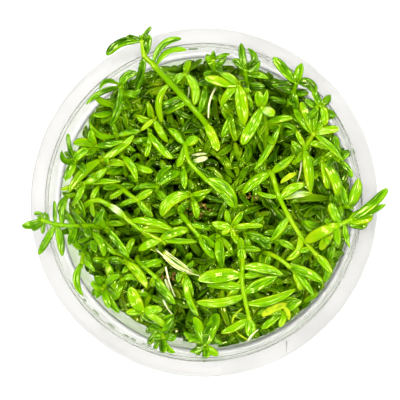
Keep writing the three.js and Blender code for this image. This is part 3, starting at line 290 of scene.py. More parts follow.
     [(1, -28.6, -20.6, 47.8, 1.6, 0.2, 0.3), (1, -27.4, -25, 48.2, 1.5, 0.1, 0.2),
      (1, -24, -27.6, 48, 1.7, 0.2, 0.3), (0.7, -21.4, -28.8, 46.2, 1.6, -0.4, 0.5)]),
    # Short star against the bottom neck, with two broad leaves standing up
    ([(0.8, -33, 44), (1, -37.3, 50.4)],
     [(1, -2, -29.7, 46.4, 2.4, -0.3, 0.5), (1, 4.3, -28.9, 46.4, 2.9, 0.3, 0.6),
      (1, -3.1, -38.7, 51.2, 1.5, 0.2, 0.1), (1, 1.2, -40.2, 51.8, 1.7, 0.2, 0.1),
      (1, 4.4, -39.4, 51.8, 1.8, -0.2, 0.2), (0.8, -4.6, -33.8, 47, 1.6, 0.2, 0.4)]),
    ([(-4.4, -15.6, 36), (-4.4, -18.8, 42)],
     [(1, -2.2, -24.7, 42.6, 1.5, 0.2, 0.9), (1, -0.8, -29.6, 43.6, 1.7, -0.8, 1.3),
      (0.8, -8.8, -13.4, 41, 1.7, 0.3, 0.8)]),
    # Tall shoot at the lower right, leaves swept to both sides
    ([(9.2, -11.6, 38), (10.6, -15.2, 44.6), (10.4, -20, 47.2), (11.2, -25.2, 47.8), (12.4, -30.6, 47.4)],
     [(1.8, -1, -20.3, 47.4, 3, -0.5, 1), (2.4, 1.3, -21.6, 45.6, 1.8, -0.3, 0.6),
      (2.8, -1.3, -25.9, 46.6, 1.9, 1, 0.9), (1.4, 20.9, -18.9, 47, 2.1, 0.8, 0.9),
      (1.9, 18, -18.2, 45.4, 1.6, 0.2, 0.6), (2.7, 19.5, -19.3, 48.4, 2.2, 0.2, 0.9),
      (3.2, 24.2, -22.4, 48, 1.9, -0.9, 0.8), (4, 12.7, -35, 48, 2.2, 0.1, 0.3),
      (1, 10.2, -12.2, 45.4, 1.8, 0, 0.2), (3.9, 4.9, -33.8, 47.2, 1.8, 0.3, 0.5), (2, 5.6, -27, 45, 1.7, 0.3, 0.8)]),
    ([(16.9, -13.4, 41), (20, -14.8, 44.6), (24, -18, 45.6)],
     [(2, 25.5, -22.8, 45.4, 1.8, 0.3, 0.6), (1.6, 31, -20.7, 46.8, 2.1, 0.4, 0.9),
      (0.2, 16.3, -17.6, 42.4, 1.5, 0.1, 0.4), (2, 28.8, -24.4, 46.8, 1.6, 0.3, 0.5)]),
    ([(10.8, -6.2, 34), (11.2, -8.6, 40.6)],
     [(1, 17.7, -12.4, 41.4, 2.5, 0.9, 1), (1, 13.6, -15, 40.4, 1.9, -0.3, 0.8),
      (0.6, 16, -4, 39.6, 1.6, 0.3, 0.7)]),
    ([(4, -6.6, 35), (4.4, -9.4, 42.4)],
     [(1, 5.4, -17.4, 42.8, 2.6, 0.1, 1.1), (0.8, 2.8, -16.6, 40.4, 1.6, 0.2, 0.8),
      (0.9, 8.2, -13.8, 41.8, 1.5, 0.5, 0.7)]),
    ([(30.4, -13.8, 39), (33, -15.2, 45.6)],
     [(1, 33.6, -11.4, 46.8, 2, 0.2, 0.4), (1, 31.4, -20.6, 47.6, 1.8, 0.3, 0.5),
      (0.7, 35, -9.6, 47.2, 1.5, 0.3, 0.4)]),
    ([(19.4, -26, 39), (21.4, -28.6, 45.4)],
     [(1, 16.6, -28.9, 45.6, 1.6, -0.3, 0.5), (1, 25.6, -25.4, 47.4, 1.8, 0.3, 0.4),
      (1, 20, -32.2, 46.6, 1.6, 0.2, 0.3), (0.7, 15.4, -32.6, 45, 1.6, 0.3, 0.5)]),
]

# A leaf's shade runs from 0, deep green, over 0.5, fresh green, to 1, yellow-lime. First each shoot's own.
SHOOT_SHADE = [
    0.42, 0.82, 0.45, 0.52, 0.55, 0.52, 0.82, 0.36, 0.68, 0.5, 0.72, 0.6, 0.52, 0.48, 0.62, 0.52, 0.72, 0.72, 0.48,
    0.58, 0.48, 0.78, 0.7, 0.34, 0.5, 0.4, 0.68, 0.52, 0.74, 0.38, 0.4, 0.64, 0.48, 0.52, 0.52, 0.52, 0.56, 0.52,
    0.48, 0.4, 0.5, 0.52, 0.66, 0.52, 0.5, 0.62, 0.44, 0.5, 0.46, 0.52, 0.68, 0.62, 0.52, 0.6, 0.48, 0.58,
]
# Leaves that differ from their shoot: (shoot, leaf) and the leaf's shade
LEAF_SHADE = {
    (1, 1): 0.22, (1, 2): 0.24, (1, 3): 0.22, (1, 4): 0.2, (1, 5): 0.24, (1, 6): 0.36, (1, 7): 0.6, (1, 0): 0.86,
    (1, 8): 0.8, (2, 0): 0.97, (12, 0): 0.5, (12, 1): 0.52, (15, 0): 0.72, (18, 4): 0.9,
    (20, 5): 0.9, (20, 6): 0.86, (20, 2): 0.68, (24, 1): 0.38, (27, 2): 0.86, (43, 0): 0.88, (29, 0): 0.78,
}
# Leaves with a bleached patch: (shoot, leaf), the patch's place along the leaf and its strength
BLEACHED = {(11, 1): (0.45, 1), (18, 4): (0.55, 0.75), (27, 2): (0.4, 0.35)}
# Stems that differ from the rest: shoot and the stem's shade
STEM_SHADE = {1: 0.76}
# Stems thicker than the rest: shoot and the stem's radius
STEM_GIRTH = {1: 0.84}


def points_of(node):
    """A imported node's corners, in millimetres."""
    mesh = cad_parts[node].data
    flat = np.empty(len(mesh.vertices) * 3)
    mesh.vertices.foreach_get("co", flat)
    return flat.reshape(-1, 3) / MM


def tree_of(node):
    """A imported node's faces, to look a place up on."""
    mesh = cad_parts[node].data
    corners = [Vector(c) for c in points_of(node)]
    return BVHTree.FromPolygons(corners, [list(face.vertices) for face in mesh.polygons])


def polar(radius, angle, height):
    return radius * cos(angle), radius * sin(angle), height


def shown(name, data, material=None):
    """A new object in the scene."""
    thing = bpy.data.objects.new(name, data)
    bpy.context.scene.collection.objects.link(thing)
    if material:
        data.materials.append(material)
    return thing


def sighted(across, up, height):
    """A point seen on the flange's plane, carried along the line of sight to its own height."""
    share = (EYE.z - height) / (EYE.z - CUP_HEIGHT)
    return Vector((EYE.x + (across - EYE.x) * share, EYE.y + (up - EYE.y) * share, height))


def in_gap(point):
    """Whether a point is seen within one of the dark gaps."""
    share = (EYE.z - CUP_HEIGHT) / (EYE.z - point.z)
    across, up = EYE.x + (point.x - EYE.x) * share, EYE.y + (point.y - EYE.y) * share
    return any(hypot(across - gap[0], up - gap[1]) < gap[2] for gap in GAPS + BARE)


class Bend:
    """A centripetal Catmull-Rom curve through points."""

    def __init__(self, points):
        self.points = [Vector(p) for p in points]
        samples = [self.at(i / 60) for i in range(61)]
        self.length = sum((b - a).length for a, b in zip(samples, samples[1:]))

    def at(self, t):
        """The point at a share of the way, from 0 to 1."""
        p = self.points
        spans = len(p) - 1
        place = min(max(t, 0), 1) * spans
        i = min(int(place), spans - 1)
        w = place - i
        p1, p2 = p[i], p[i + 1]
        p0 = p[i - 1] if i > 0 else 2 * p1 - p2
        p3 = p[i + 2] if i + 2 < len(p) else 2 * p2 - p1
        d0, d1, d2 = (sqrt((b - a).length) for a, b in ((p0, p1), (p1, p2), (p2, p3)))
        t1 = ((p1 - p0) / d0 - (p2 - p0) / (d0 + d1) + (p2 - p1) / d1) * d1
        t2 = ((p2 - p1) / d1 - (p3 - p1) / (d1 + d2) + (p3 - p2) / d2) * d1
        return p1 + t1 * w + (-3 * p1 + 3 * p2 - 2 * t1 - t2) * w * w + (2 * p1 - 2 * p2 + t1 + t2) * w ** 3

    def way(self, t):
        """The direction there."""
        return (self.at(min(t + 0.01, 1)) - self.at(max(t - 0.01, 0))).normalized()


class Growth:
    """Gathers leaves and stems into one mesh, with a mark on each corner: shade, along, across, bleach."""

    def __init__(self):
        self.corners, self.marks, self.quads, self.tris = [], [], [], []
        self.count = 0

    def add_rings(self, rings, marks, start, start_mark, end, end_mark):
        """Closed rings of corners, (n, m, 3), joined in order and closed by a point at each end."""
        n, m = rings.shape[:2]
        first = self.count
        self.corners += [rings.reshape(-1, 3), np.array([start, end])]
        self.marks += [marks.reshape(-1, 4), np.array([start_mark, end_mark])]
        a = first + (np.arange(n - 1)[:, None] * m + np.arange(m)[None, :]).ravel()
        b = first + (np.arange(n - 1)[:, None] * m + (np.arange(m)[None, :] + 1) % m).ravel()
        self.quads.append(np.stack([a, b, b + m, a + m], 1))
        lower = first + np.arange(m)
        upper = lower + (n - 1) * m
        tail, tip = first + n * m, first + n * m + 1
        self.tris.append(np.stack([np.roll(lower, -1), lower, np.full(m, tail)], 1))
        self.tris.append(np.stack([upper, np.roll(upper, -1), np.full(m, tip)], 1))
        self.count += n * m + 2

    def stem(self, curve, start, end, radius, tip_radius, shade, sides=STEM_SIDES, knots=(), pitch=0.9):
        """A round stem along part of a curve, a little swollen at its knots."""
        steps = max(3, int(curve.length * (end - start) / pitch))
        rings, marks = [], []
        side = None
        for i in range(steps + 1):
            t = start + (end - start) * i / steps
            way = curve.way(t)
            side = (way.orthogonal() if side is None else side - way * side.dot(way)).normalized()
            other = way.cross(side)
            r = radius + (tip_radius - radius) * (i / steps)
            r *= 1 + sum(0.3 * exp(-((t - knot) * curve.length / 0.5) ** 2) for knot in knots)
            centre = curve.at(t)
            turns = [2 * pi * k / sides for k in range(sides)]
            rings.append([centre + side * (r * cos(turn)) + other * (r * sin(turn)) for turn in turns])
            marks.append([(shade, i / steps, 0.5, 0)] * sides)
        self.add_rings(
            np.array(rings), np.array(marks), np.array(curve.at(start)), (shade, 0, 0.5, 0),
            np.array(curve.at(end) + curve.way(end) * tip_radius * 0.6), (shade, 1, 0.5, 0),
        )

    def leaf(
        self, base, tip, width, bow, arch, shade, fine=True, roll=0.0, camber=0.2, fold=0.0, twist=0.0, bleach=None,
        point=0.6,
    ):
        """A blade along an arched midrib: a rounded tip, a narrow foot, a grooved midrib and thin margins."""
        along, across = FINE_GRID if fine else PLAIN_GRID if base.z > DEEP_BELOW else DEEP_GRID
        chord = tip - base
        aside = Vector((-chord.y, chord.x, 0))
        aside = aside.normalized() if aside.length > 0.05 else Vector((1, 0, 0))
        middle = (base + tip) / 2 + aside * 2 * bow + Vector((0, 0, 2 * arch))
        t = along[:, None]
        b, c, e = (np.array(v) for v in (base, middle, tip))
        centre = (1 - t) ** 2 * b + 2 * (1 - t) * t * c + t ** 2 * e
        forward = 2 * (1 - t) * (c - b) + 2 * t * (e - c)
        forward /= np.linalg.norm(forward, axis=1)[:, None]
        left = np.array(aside) - forward * (forward @ np.array(aside))[:, None]
        left /= np.linalg.norm(left, axis=1)[:, None]
        up = np.cross(forward, left)
        cosine, sine = np.cos(roll + twist * t), np.sin(roll + twist * t)
        turned, risen = left * cosine + up * sine, up * cosine - left * sine
        half = width / 2 * breadth(along, point)
        s, face = across[:, 0], across[:, 1]
        thick = LEAF_THICKNESS * (0.35 + 0.65 * np.sin(np.pi * np.clip(along, 0.08, 0.86)))
        skin = np.sqrt(np.maximum(1 - np.abs(s) ** 2.4, 0))
        rib = np.exp(-(s / RIB_WIDTH) ** 2)
        relief = face * skin * 0.5 + np.where(face > 0, -0.3 * rib, -0.35 * rib)
        height = np.outer(thick, relief) - np.outer(camber * half, s ** 2) + np.outer(fold * half, np.abs(s))
        wave = np.sin(along * 10 + shade * 40) * 0.1
        height = height + np.outer(wave * half, s ** 2 * np.sign(s))
        rings = centre[:, None] + turned[:, None] * np.outer(half, s)[..., None] + risen[:, None] * height[..., None]
        marks = np.zeros(rings.shape[:2] + (4,))
        marks[..., 0], marks[..., 1], marks[..., 2] = shade, t, (s + 1) / 2
        if bleach:
            place, strength = bleach
            marks[..., 3] = strength * np.exp(-((t - place) / BLEACH_LENGTH) ** 2)
        self.add_rings(rings, marks, centre[0], (shade, 0, 0.5, 0), np.array(tip), (shade, 1, 0.5, 0))

    def lump(self, rings, start, end):
        """Closed rings of something that takes no marks."""
        rings, plain = np.array(rings), (0.5,) * 4
        self.add_rings(rings, np.full(rings.shape[:2] + (4,), 0.5), np.array(start), plain, np.array(end), plain)

    def build(self, name, material):
        mesh = bpy.data.meshes.new(name)
        corners = np.concatenate(self.corners) * MM
        faces = np.concatenate(self.quads).tolist() + np.concatenate(self.tris).tolist()
        mesh.from_pydata(corners.tolist(), [], faces)
        marks = mesh.attributes.new("leaf_marks", "FLOAT_COLOR", "POINT")
        marks.data.foreach_set("color", np.concatenate(self.marks).astype(np.float32).ravel())
        mesh.shade_smooth()
        return shown(name, mesh, material)


LEAF_THICKNESS = 0.3
RIB_WIDTH = 0.16        # as a share of the leaf's half width
BLEACH_LENGTH = 0.16    # as a share of the leaf's length
# The breadths were read as seen from above, and the blades are rolled and folded
LEAF_FULLNESS = 1.16
FULLNESS = {20: 1.36, 21: 1.36, 51: 1.34}
# A leaf's grids: places along it, and round its section (share of the half width, 1 above and -1 below)
FINE_GRID = (
    np.array([0.02, 0.08, 0.16, 0.25, 0.35, 0.45, 0.55, 0.64, 0.73, 0.81, 0.88, 0.93, 0.965, 0.988]),
    np.array([
        (1, 0), (0.74, 1), (0.4, 1), (0.14, 1), (0, 1), (-0.14, 1), (-0.4, 1), (-0.74, 1), (-1, 0), (-0.6, -1),
        (0, -1), (0.6, -1),
    ]),
)
PLAIN_GRID = (
    np.array([0.03, 0.2, 0.4, 0.6, 0.76, 0.88, 0.96]),
    np.array([(1, 0), (0.5, 1), (0, 1), (-0.5, 1), (-1, 0), (-0.5, -1), (0, -1), (0.5, -1)]),
)
DEEP_GRID = (
    np.array([0.04, 0.3, 0.6, 0.8, 0.94]),
    np.array([(1, 0), (0.5, 1), (-0.5, 1), (-1, 0), (-0.5, -1), (0.5, -1)]),
)
DEEP_BELOW = 28    # millimetres up, under which the undergrowth's leaves take the deep grid


def breadth(t, point):
    """A blade's breadth along it, from a narrow foot to a tip that is round (point 0) or pointed (point 1)."""
    foot = 0.36 + 0.64 * np.sin(np.minimum(t / 0.36, 1) * np.pi / 2) ** 1.2
    turn = 0.7 - 0.28 * point
    taper = np.maximum(t - turn, 0) / (1 - turn)
    return foot * (1 - taper ** (2.4 - 0.5 * point)) ** (0.5 + 0.35 * point)


class Finish:
    """A material's nodes, put together step by step."""

    def __init__(self, name):
        self.material = bpy.data.materials.new(name)
        self.material.use_nodes = True
        self.tree = self.material.node_tree
        self.tree.nodes.clear()

    def node(self, kind, inputs=(), **settings):
        """A node with its settings, and its inputs given as values, colours or links."""
        node = self.tree.nodes.new("ShaderNode" + kind)
        for setting, value in settings.items():
            setattr(node, setting, value)
        for socket, value in dict(inputs).items():
            if isinstance(value, bpy.types.NodeSocket):
                self.tree.links.new(value, node.inputs[socket])
            else:
                node.inputs[socket].default_value = (*value, 1) if isinstance(value, tuple) else value
        return node

    @cached_property
    def place(self):
        return self.node("TexCoord").outputs["Object"]

    def maths(self, operation, *values, clamp=False):
        return self.node("Math", enumerate(values), operation=operation, use_clamp=clamp).outputs[0]

    def times(self, first, second):
        return self.maths("MULTIPLY", first, second)

    def minus(self, first, second, clamp=False):
        return self.maths("SUBTRACT", first, second, clamp=clamp)

    def noise(self, scale, detail=3, place=None):
        place = self.place if place is None else place
        return self.node("TexNoise", {"Scale": scale, "Detail": detail, "Vector": place}).outputs["Fac"]

    def ramp(self, value, stops):
        node = self.node("ValToRGB", {0: value})
        elements = node.color_ramp.elements
        while len(elements) < len(stops):
            elements.new(0.5)
        for element, (place, colour) in zip(elements, stops):
            element.position = place
            element.color = (*colour, 1)
        return node.outputs[0]

    def mixed(self, share, first, second):
        return self.node("Mix", {0: share, 6: first, 7: second}, data_type="RGBA").outputs[2]

    def ranged(self, value, low, high, at_low, at_high):
        """A value carried from one range into another, and held at its ends."""
        return self.node("MapRange", enumerate((value, low, high, at_low, at_high))).outputs[0]

    def done(self, shader):
        self.node("OutputMaterial", {"Surface": shader.outputs[0]})
        return self.material

    def coated(self, inputs):
        """The finished material of one plain shader."""
        return self.done(self.node("BsdfPrincipled", inputs))


# A leaf's colours by its shade, and those that it turns to: painted shade in the deep, partly the older leaves'
# darker colour, painted light by the wall, and where bleached
LEAF_COLOURS = [
    (0.0, (0.010, 0.044, 0.0003)),
    (0.28, (0.074, 0.238, 0.0003)),
    (0.52, (0.192, 0.462, 0.0004)),
    (0.78, (0.266, 0.512, 0.0008)),
    (1.0, (0.370, 0.550, 0.0030)),
]
DEEP_SHADE_AND_AGE = (0.03, 0.062, 0.003)
PAINTED_WALL_LIGHT = (0.4, 0.76, 0.02)
BLEACH_COLOUR = (0.62, 0.72, 0.42)
# Where the deep's painted shade and the wall's painted light fade out, in millimetres from the axis and up, and how
# strong each is
INSIDE, DEEP = (24 * MM, 30 * MM), (20 * MM, 34 * MM)
DEEP_SHADE_SHARE, WALL_LIGHT_SHARE = 0.62, 0.85
# Noise scales of the leaf's patches, grain and waves
PATCHES, GRAIN, WAVES = 420, 2600, 260


def leaf_material(name, darken=1.0):
    """Glossy leaf: shade by the leaf's mark, paler midrib, fine mottling, some light let through; pale margins and a
    dark middle partly painted light and shade, crease streaks and one lighter half painted light and shade, painted
    shade in the deep and painted light by the wall.
    """
    finish = Finish(name)
    maths, times, minus = finish.maths, finish.times, finish.minus
    marks = finish.node("Attribute", attribute_name="leaf_marks").outputs
    shade, along, across = finish.node("SeparateColor", {0: marks["Color"]}).outputs[:3]
    # Streaks along the leaf: they raise its creases, and are also painted lighter and darker along them as painted
    # light and shade
    stretched = [times(mark, stretch) for mark, stretch in ((along, 3.2), (across, 4.4), (shade, 60))]
    crease_relief_and_shade = finish.noise(1, 1, finish.node("CombineXYZ", enumerate(stretched)).outputs[0])
    patches, grain = finish.noise(PATCHES), finish.noise(GRAIN, 2)
    aside = minus(across, 0.5)
    off_rib = maths("ABSOLUTE", aside)
    # Paler margins and a darker middle: partly the leaf's own colour, partly painted light reflected and let through
    # at the edges and painted shade in the middle
    margin_colour_and_light = maths("POWER", times(off_rib, 2), 4)
    heart_colour_and_shade = minus(1, times(off_rib, 2.6), clamp=True)
    rib = minus(1, times(off_rib, 12), clamp=True)
    tip = maths("POWER", along, 6)
    # One half of each leaf painted lighter and the other darker, as painted light and shade on a folded blade
    lit_and_shaded_halves = times(maths("SINE", times(shade, 90)), aside)
    value = shade
    for mark, middle, weight in (
        (patches, 0.5, 0.6), (crease_relief_and_shade, 0.5, 0.8), (grain, 0.5, 0.16), (margin_colour_and_light, 0, 0.15), (heart_colour_and_shade, 0, -0.08),
        (rib, 0, 0.12), (tip, 0, 0.14), (lit_and_shaded_halves, 0, 0.5),
    ):
        value = maths("ADD", value, times(minus(mark, middle), weight))
    colour = finish.ramp(value, [(p, tuple(c * darken for c in colour)) for p, colour in LEAF_COLOURS])

    # Deep among the stems it is painted darker, as painted shade, partly the older leaves' darker colour; deep by the
    # wall it is painted a paler green, as painted light coming through the wall
    spot = finish.node("SeparateXYZ", {0: finish.place}).outputs
    reach = maths("SQRT", maths("ADD", maths("POWER", spot["X"], 2), maths("POWER", spot["Y"], 2)))
    inside = finish.ranged(reach, *INSIDE, 1, 0)
    deep = finish.ranged(spot["Z"], *DEEP, 1, 0)
    shaded = times(times(inside, deep), DEEP_SHADE_SHARE)
    painted_wall_light = times(minus(deep, shaded, clamp=True), WALL_LIGHT_SHARE)
    colour = finish.mixed(shaded, colour, DEEP_SHADE_AND_AGE)
    colour = finish.mixed(painted_wall_light, colour, PAINTED_WALL_LIGHT)
    colour = finish.mixed(marks["Alpha"], colour, BLEACH_COLOUR)

    swell = times(maths("SINE", times(off_rib, 2 * pi)), 0.35)
    waves = times(finish.noise(WAVES, 0), 0.8)
    relief = maths("ADD", maths("ADD", times(crease_relief_and_shade, 0.25), waves), swell)
    bump = finish.node("Bump", {"Strength": 0.6, "Distance": 0.0003, "Height": relief})
    shader = finish.node("BsdfPrincipled", {
        "Base Color": colour, "Roughness": finish.ranged(grain, 0.3, 0.7, 0.06, 0.14), "IOR": 1.45,
        "Specular IOR Level": 1.0, "Specular Tint": (0.88, 1, 0.3), "Normal": bump.outputs[0],
    })
    glow = finish.mixed(0.5, colour, (0.42 * darken, 0.75 * darken, 0.001))
    through = finish.node("BsdfTranslucent", {"Color": glow})
    return finish.done(finish.node("MixShader", {0: 0.24, 1: shader.outputs[0], 2: through.outputs[0]}))


def plastic_material(name, tint, clearness, roughness, uneven=None, grain=45):
    """Clear plastic, a little hazy, more so where its surface is frosted, with an uneven second tint if given."""
    finish = Finish(name)
    return finish.coated({
        "Base Color": finish.ramp(finish.noise(grain), [(0.42, tint), (0.58, uneven)]) if uneven else tint,
        "IOR": 1.49, "Transmission Weight": clearness,
        "Roughness": finish.ranged(finish.noise(160, 4), 0, 1, roughness * 0.85, roughness * 1.15),
    })


def gel_material():
    """Cloudy, pale brown nutrient gel."""
    finish = Finish("nutrient_gel")
    clouds = finish.ramp(finish.noise(120, 4), [(0.3, (0.30, 0.22, 0.07)), (0.7, (0.58, 0.48, 0.22))])
    return finish.coated({"Base Color": clouds, "IOR": 1.34, "Roughness": 0.22, "Transmission Weight": 0.35})


def straw_material(name, low, high):
    """Dry or rootlike matter, mottled between two colours."""
    finish = Finish(name)
    mottle = finish.ramp(finish.noise(900), [(0.3, low), (0.7, high)])
    return finish.coated({"Base Color": mottle, "Roughness": 0.5, "Specular IOR Level": 0.1})


fresh_leaf = leaf_material("fresh_leaf")
# The undergrowth's leaves take a copy painted darker, as painted shade under the canopy
shaded_inner_leaf = leaf_material("shaded_inner_leaf", darken=0.76)
clear_plastic = plastic_material("clear_plastic", (0.96, 0.965, 0.96), 0.985, 0.07)
frosted_plastic = plastic_material("frosted_plastic", (0.66, 0.65, 0.63), 0.8, 0.3, (0.61, 0.6, 0.58))
bright_plastic = plastic_material("bright_plastic", (0.9, 0.895, 0.86), 0.97, 0.8, (0.95, 0.945, 0.92), 260)
# Misted inner wall, tinted green as a painted reflection of the leaves behind it
misted_plastic_green_reflection = plastic_material("misted_plastic_green_reflection", (0.6, 0.82, 0.36), 0.97, 0.3, (0.82, 0.94, 0.62), 320)
# Dark edges and seams: plastic painted darker, as painted shade of the lines where the clear plastic catches less
# light
edge_shade_plastic = plastic_material("edge_shade_plastic", (0.26, 0.28, 0.22), 0.8, 0.2, (0.5, 0.52, 0.44))
seam_shade_plastic = plastic_material("seam_shade_plastic", (0.6, 0.66, 0.54), 0.9, 0.3, (0.84, 0.88, 0.8))
nutrient_gel = gel_material()


# The cup and the gel

def turned(name, profile, material, sides=CUP_SIDES):
    """A turned body about the Z axis from (radius, height) points, starting and ending on the axis."""
    inner = profile[1:-1]
    corners = [(0, 0, profile[0][1]), (0, 0, profile[-1][1])]
    for radius, height in inner:
        corners += [polar(radius, 2 * pi * k / sides, height) for k in range(sides)]
    faces = []
    for k in range(sides):
        n = (k + 1) % sides
        faces.append((0, 2 + n, 2 + k))
        for row in range(len(inner) - 1):
            a, b = 2 + row * sides, 2 + (row + 1) * sides
            faces.append((a + k, a + n, b + n, b + k))
        last = 2 + (len(inner) - 1) * sides
        faces.append((1, last + k, last + n))
    mesh = bpy.data.meshes.new(name)
    mesh.from_pydata([tuple(v * MM for v in c) for c in corners], [], faces)
    mesh.shade_smooth()
    mesh.set_sharp_from_angle(angle=radians(50))
    return shown(name, mesh, material)


def rounded(profile, radius, steps=4):
    """The same profile with each inner corner cut to a small round."""
    points = [profile[0]]
    for before, corner, after in zip(profile, profile[1:], profile[2:]):
        b, c, a = Vector(before), Vector(corner), Vector(after)
        reach = min(radius, (b - c).length * 0.45, (a - c).length * 0.45)
        start, end = c + (b - c).normalized() * reach, c + (a - c).normalized() * reach
        for i in range(steps + 1):
            t = i / steps
            points.append(tuple((1 - t) ** 2 * start + 2 * (1 - t) * t * c + t * t * end))
    return points + [profile[-1]]


def wall_radius(height):
    """The wall's inner radius at a height."""
    return FLOOR_RADIUS + (SHOULDER_RADIUS - FLOOR_RADIUS) * (height - FLOOR) / (SHOULDER_HEIGHT - FLOOR)


UNDER_FLANGE = CUP_HEIGHT - FLANGE_THICKNESS
CUP_PROFILE = [
    (0, 0),
    (FLOOR_RADIUS, 0),
    (FLOOR_RADIUS + WALL, WALL),
    (SHOULDER_RADIUS + WALL, SHOULDER_HEIGHT - WALL),
    (NECK_RADIUS + WALL / 2, SHOULDER_HEIGHT),
    (NECK_RADIUS + WALL, UNDER_FLANGE),
    (FLANGE_RADIUS - WALL, UNDER_FLANGE),
    (FLANGE_RADIUS - WALL, CUP_HEIGHT - RIM_DROP),
    (FLANGE_RADIUS, CUP_HEIGHT - RIM_DROP),
    (FLANGE_RADIUS, CUP_HEIGHT),
    (NECK_RADIUS + 1, CUP_HEIGHT),
    (NECK_RADIUS + 0.8, CUP_HEIGHT + BEAD_HEIGHT),
    (NECK_RADIUS + 0.3, CUP_HEIGHT + BEAD_HEIGHT),
    (NECK_RADIUS, CUP_HEIGHT),
    (NECK_RADIUS - 0.4, SHOULDER_HEIGHT + WALL),
    (SHOULDER_RADIUS, SHOULDER_HEIGHT),
    (wall_radius(MIST_FOOT), MIST_FOOT),
    (FLOOR_RADIUS, FLOOR),
    (0, FLOOR),
]


CORNER_ROUND, GEL_ROUND = 0.25, 0.6
cup = turned("clear_cup", rounded(CUP_PROFILE, CORNER_ROUND), clear_plastic)
for finish in (frosted_plastic, bright_plastic, misted_plastic_green_reflection, edge_shade_plastic, seam_shade_plastic):
    cup.data.materials.append(finish)
FROSTED, BRIGHT, MISTED_GREEN_REFLECTION, EDGE_SHADE, SEAM_SHADE = range(1, 6)
# Edges painted darker, as painted shade where the plastic catches less light: radius, height and finish, and how far
# each reaches
EDGES = [
    (NECK_RADIUS, CUP_HEIGHT, EDGE_SHADE), (NECK_RADIUS + 0.9, CUP_HEIGHT + BEAD_HEIGHT / 2, EDGE_SHADE),
    (SHOULDER_RADIUS, SHOULDER_HEIGHT, SEAM_SHADE), (FLANGE_RADIUS, CUP_HEIGHT, SEAM_SHADE),
]
EDGE_REACH = 0.22
for face in cup.data.polygons:
    reach, level = hypot(face.center.x, face.center.y) / MM, face.center.z / MM
    edge = next((finish for r, z, finish in EDGES if hypot(reach - r, level - z) < EDGE_REACH), 0)
    if edge:
        face.material_index = edge
    elif reach > NECK_RADIUS + 1.1 or level > CUP_HEIGHT - 0.05:
        face.material_index = FROSTED
    elif level > SHOULDER_HEIGHT - WALL / 2:
        face.material_index = BRIGHT
    elif level > MIST_FOOT and reach < wall_radius(level) + WALL / 2:
        face.material_index = MISTED_GREEN_REFLECTION
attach(cup, "root")
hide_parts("cup")

gel_low = FLOOR + GAP
gel = turned("nutrient_gel", rounded([
    (0, gel_low),
    (wall_radius(gel_low) - WALL_GAP, gel_low),
    (wall_radius(GEL_TOP) - WALL_GAP, GEL_TOP),
    (wall_radius(GEL_TOP) - 2, GEL_TOP - 0.7),
    (0, GEL_TOP - 0.9),
], GEL_ROUND), nutrient_gel, sides=96)
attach(gel, "root")
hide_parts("gel")


# The shoots

floor_tree = tree_of("undergrowth")
UNDERGROWTH_REACH = 35.6


def undergrowth_top(x, y):
    """The undergrowth's height at a place, or beyond its edge, that of the edge."""
    inward = min(1, UNDERGROWTH_REACH / max(hypot(x, y), 0.1))
    return floor_tree.ray_cast(Vector((x * inward, y * inward, 60)), Vector((0, 0, -1)))[0].z


def stem_curve(stem, move):
    """A shoot's stem from its foot up, the foot moved aside."""
    seen = [sighted(*p) for p in stem]
    foot = Vector((seen[0].x * FOOT_SHARE + move[0], seen[0].y * FOOT_SHARE + move[1], FOOT_HEIGHT))
    return Bend([foot, *seen])


def kept_stem(stem, tree):
    """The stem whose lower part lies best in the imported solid."""
    curves = [stem_curve(stem, move) for move in FOOT_MOVES]
    first = 1 / len(stem)

    def miss(curve):
        return sum(tree.find_nearest(curve.at(first * share))[3] for share in (0.85, 0.92, 1.0))

    best = min(curves, key=miss)
    return curves[0] if miss(curves[0]) < miss(best) + 0.25 else best


def spread(way, turn, lift):
    """A leaf's direction: out from a stem's way at a turn about it, lifted along it."""
    side = way.orthogonal().normalized()
    out = side * cos(turn) + way.cross(side) * sin(turn)
    return out * cos(lift) + way * sin(lift)


BUD_LEAVES = 4
BUD_SIZE = 1.6
BUD_TOP = 55.4


def add_bud(growth, curve, shade):
    """Small folded leaves at a stem's end."""
    end, way = curve.at(1), curve.way(1)
    side = way.orthogonal().normalized()
    for k in range(BUD_LEAVES):
        turn = 2 * pi * k / BUD_LEAVES + draw(-0.3, 0.3)
        out = side * cos(turn) + way.cross(side) * sin(turn)
        reach = BUD_SIZE * (1 if k % 2 else 0.7)
        lean = draw(0.25, 0.7)
        tip = end + (way * cos(lean) + out * sin(lean)) * reach
        tip.z = min(tip.z, BUD_TOP)
        growth.leaf(end, tip, reach * 0.42, 0, 0.1, min(shade + 0.12, 1), camber=-0.3)


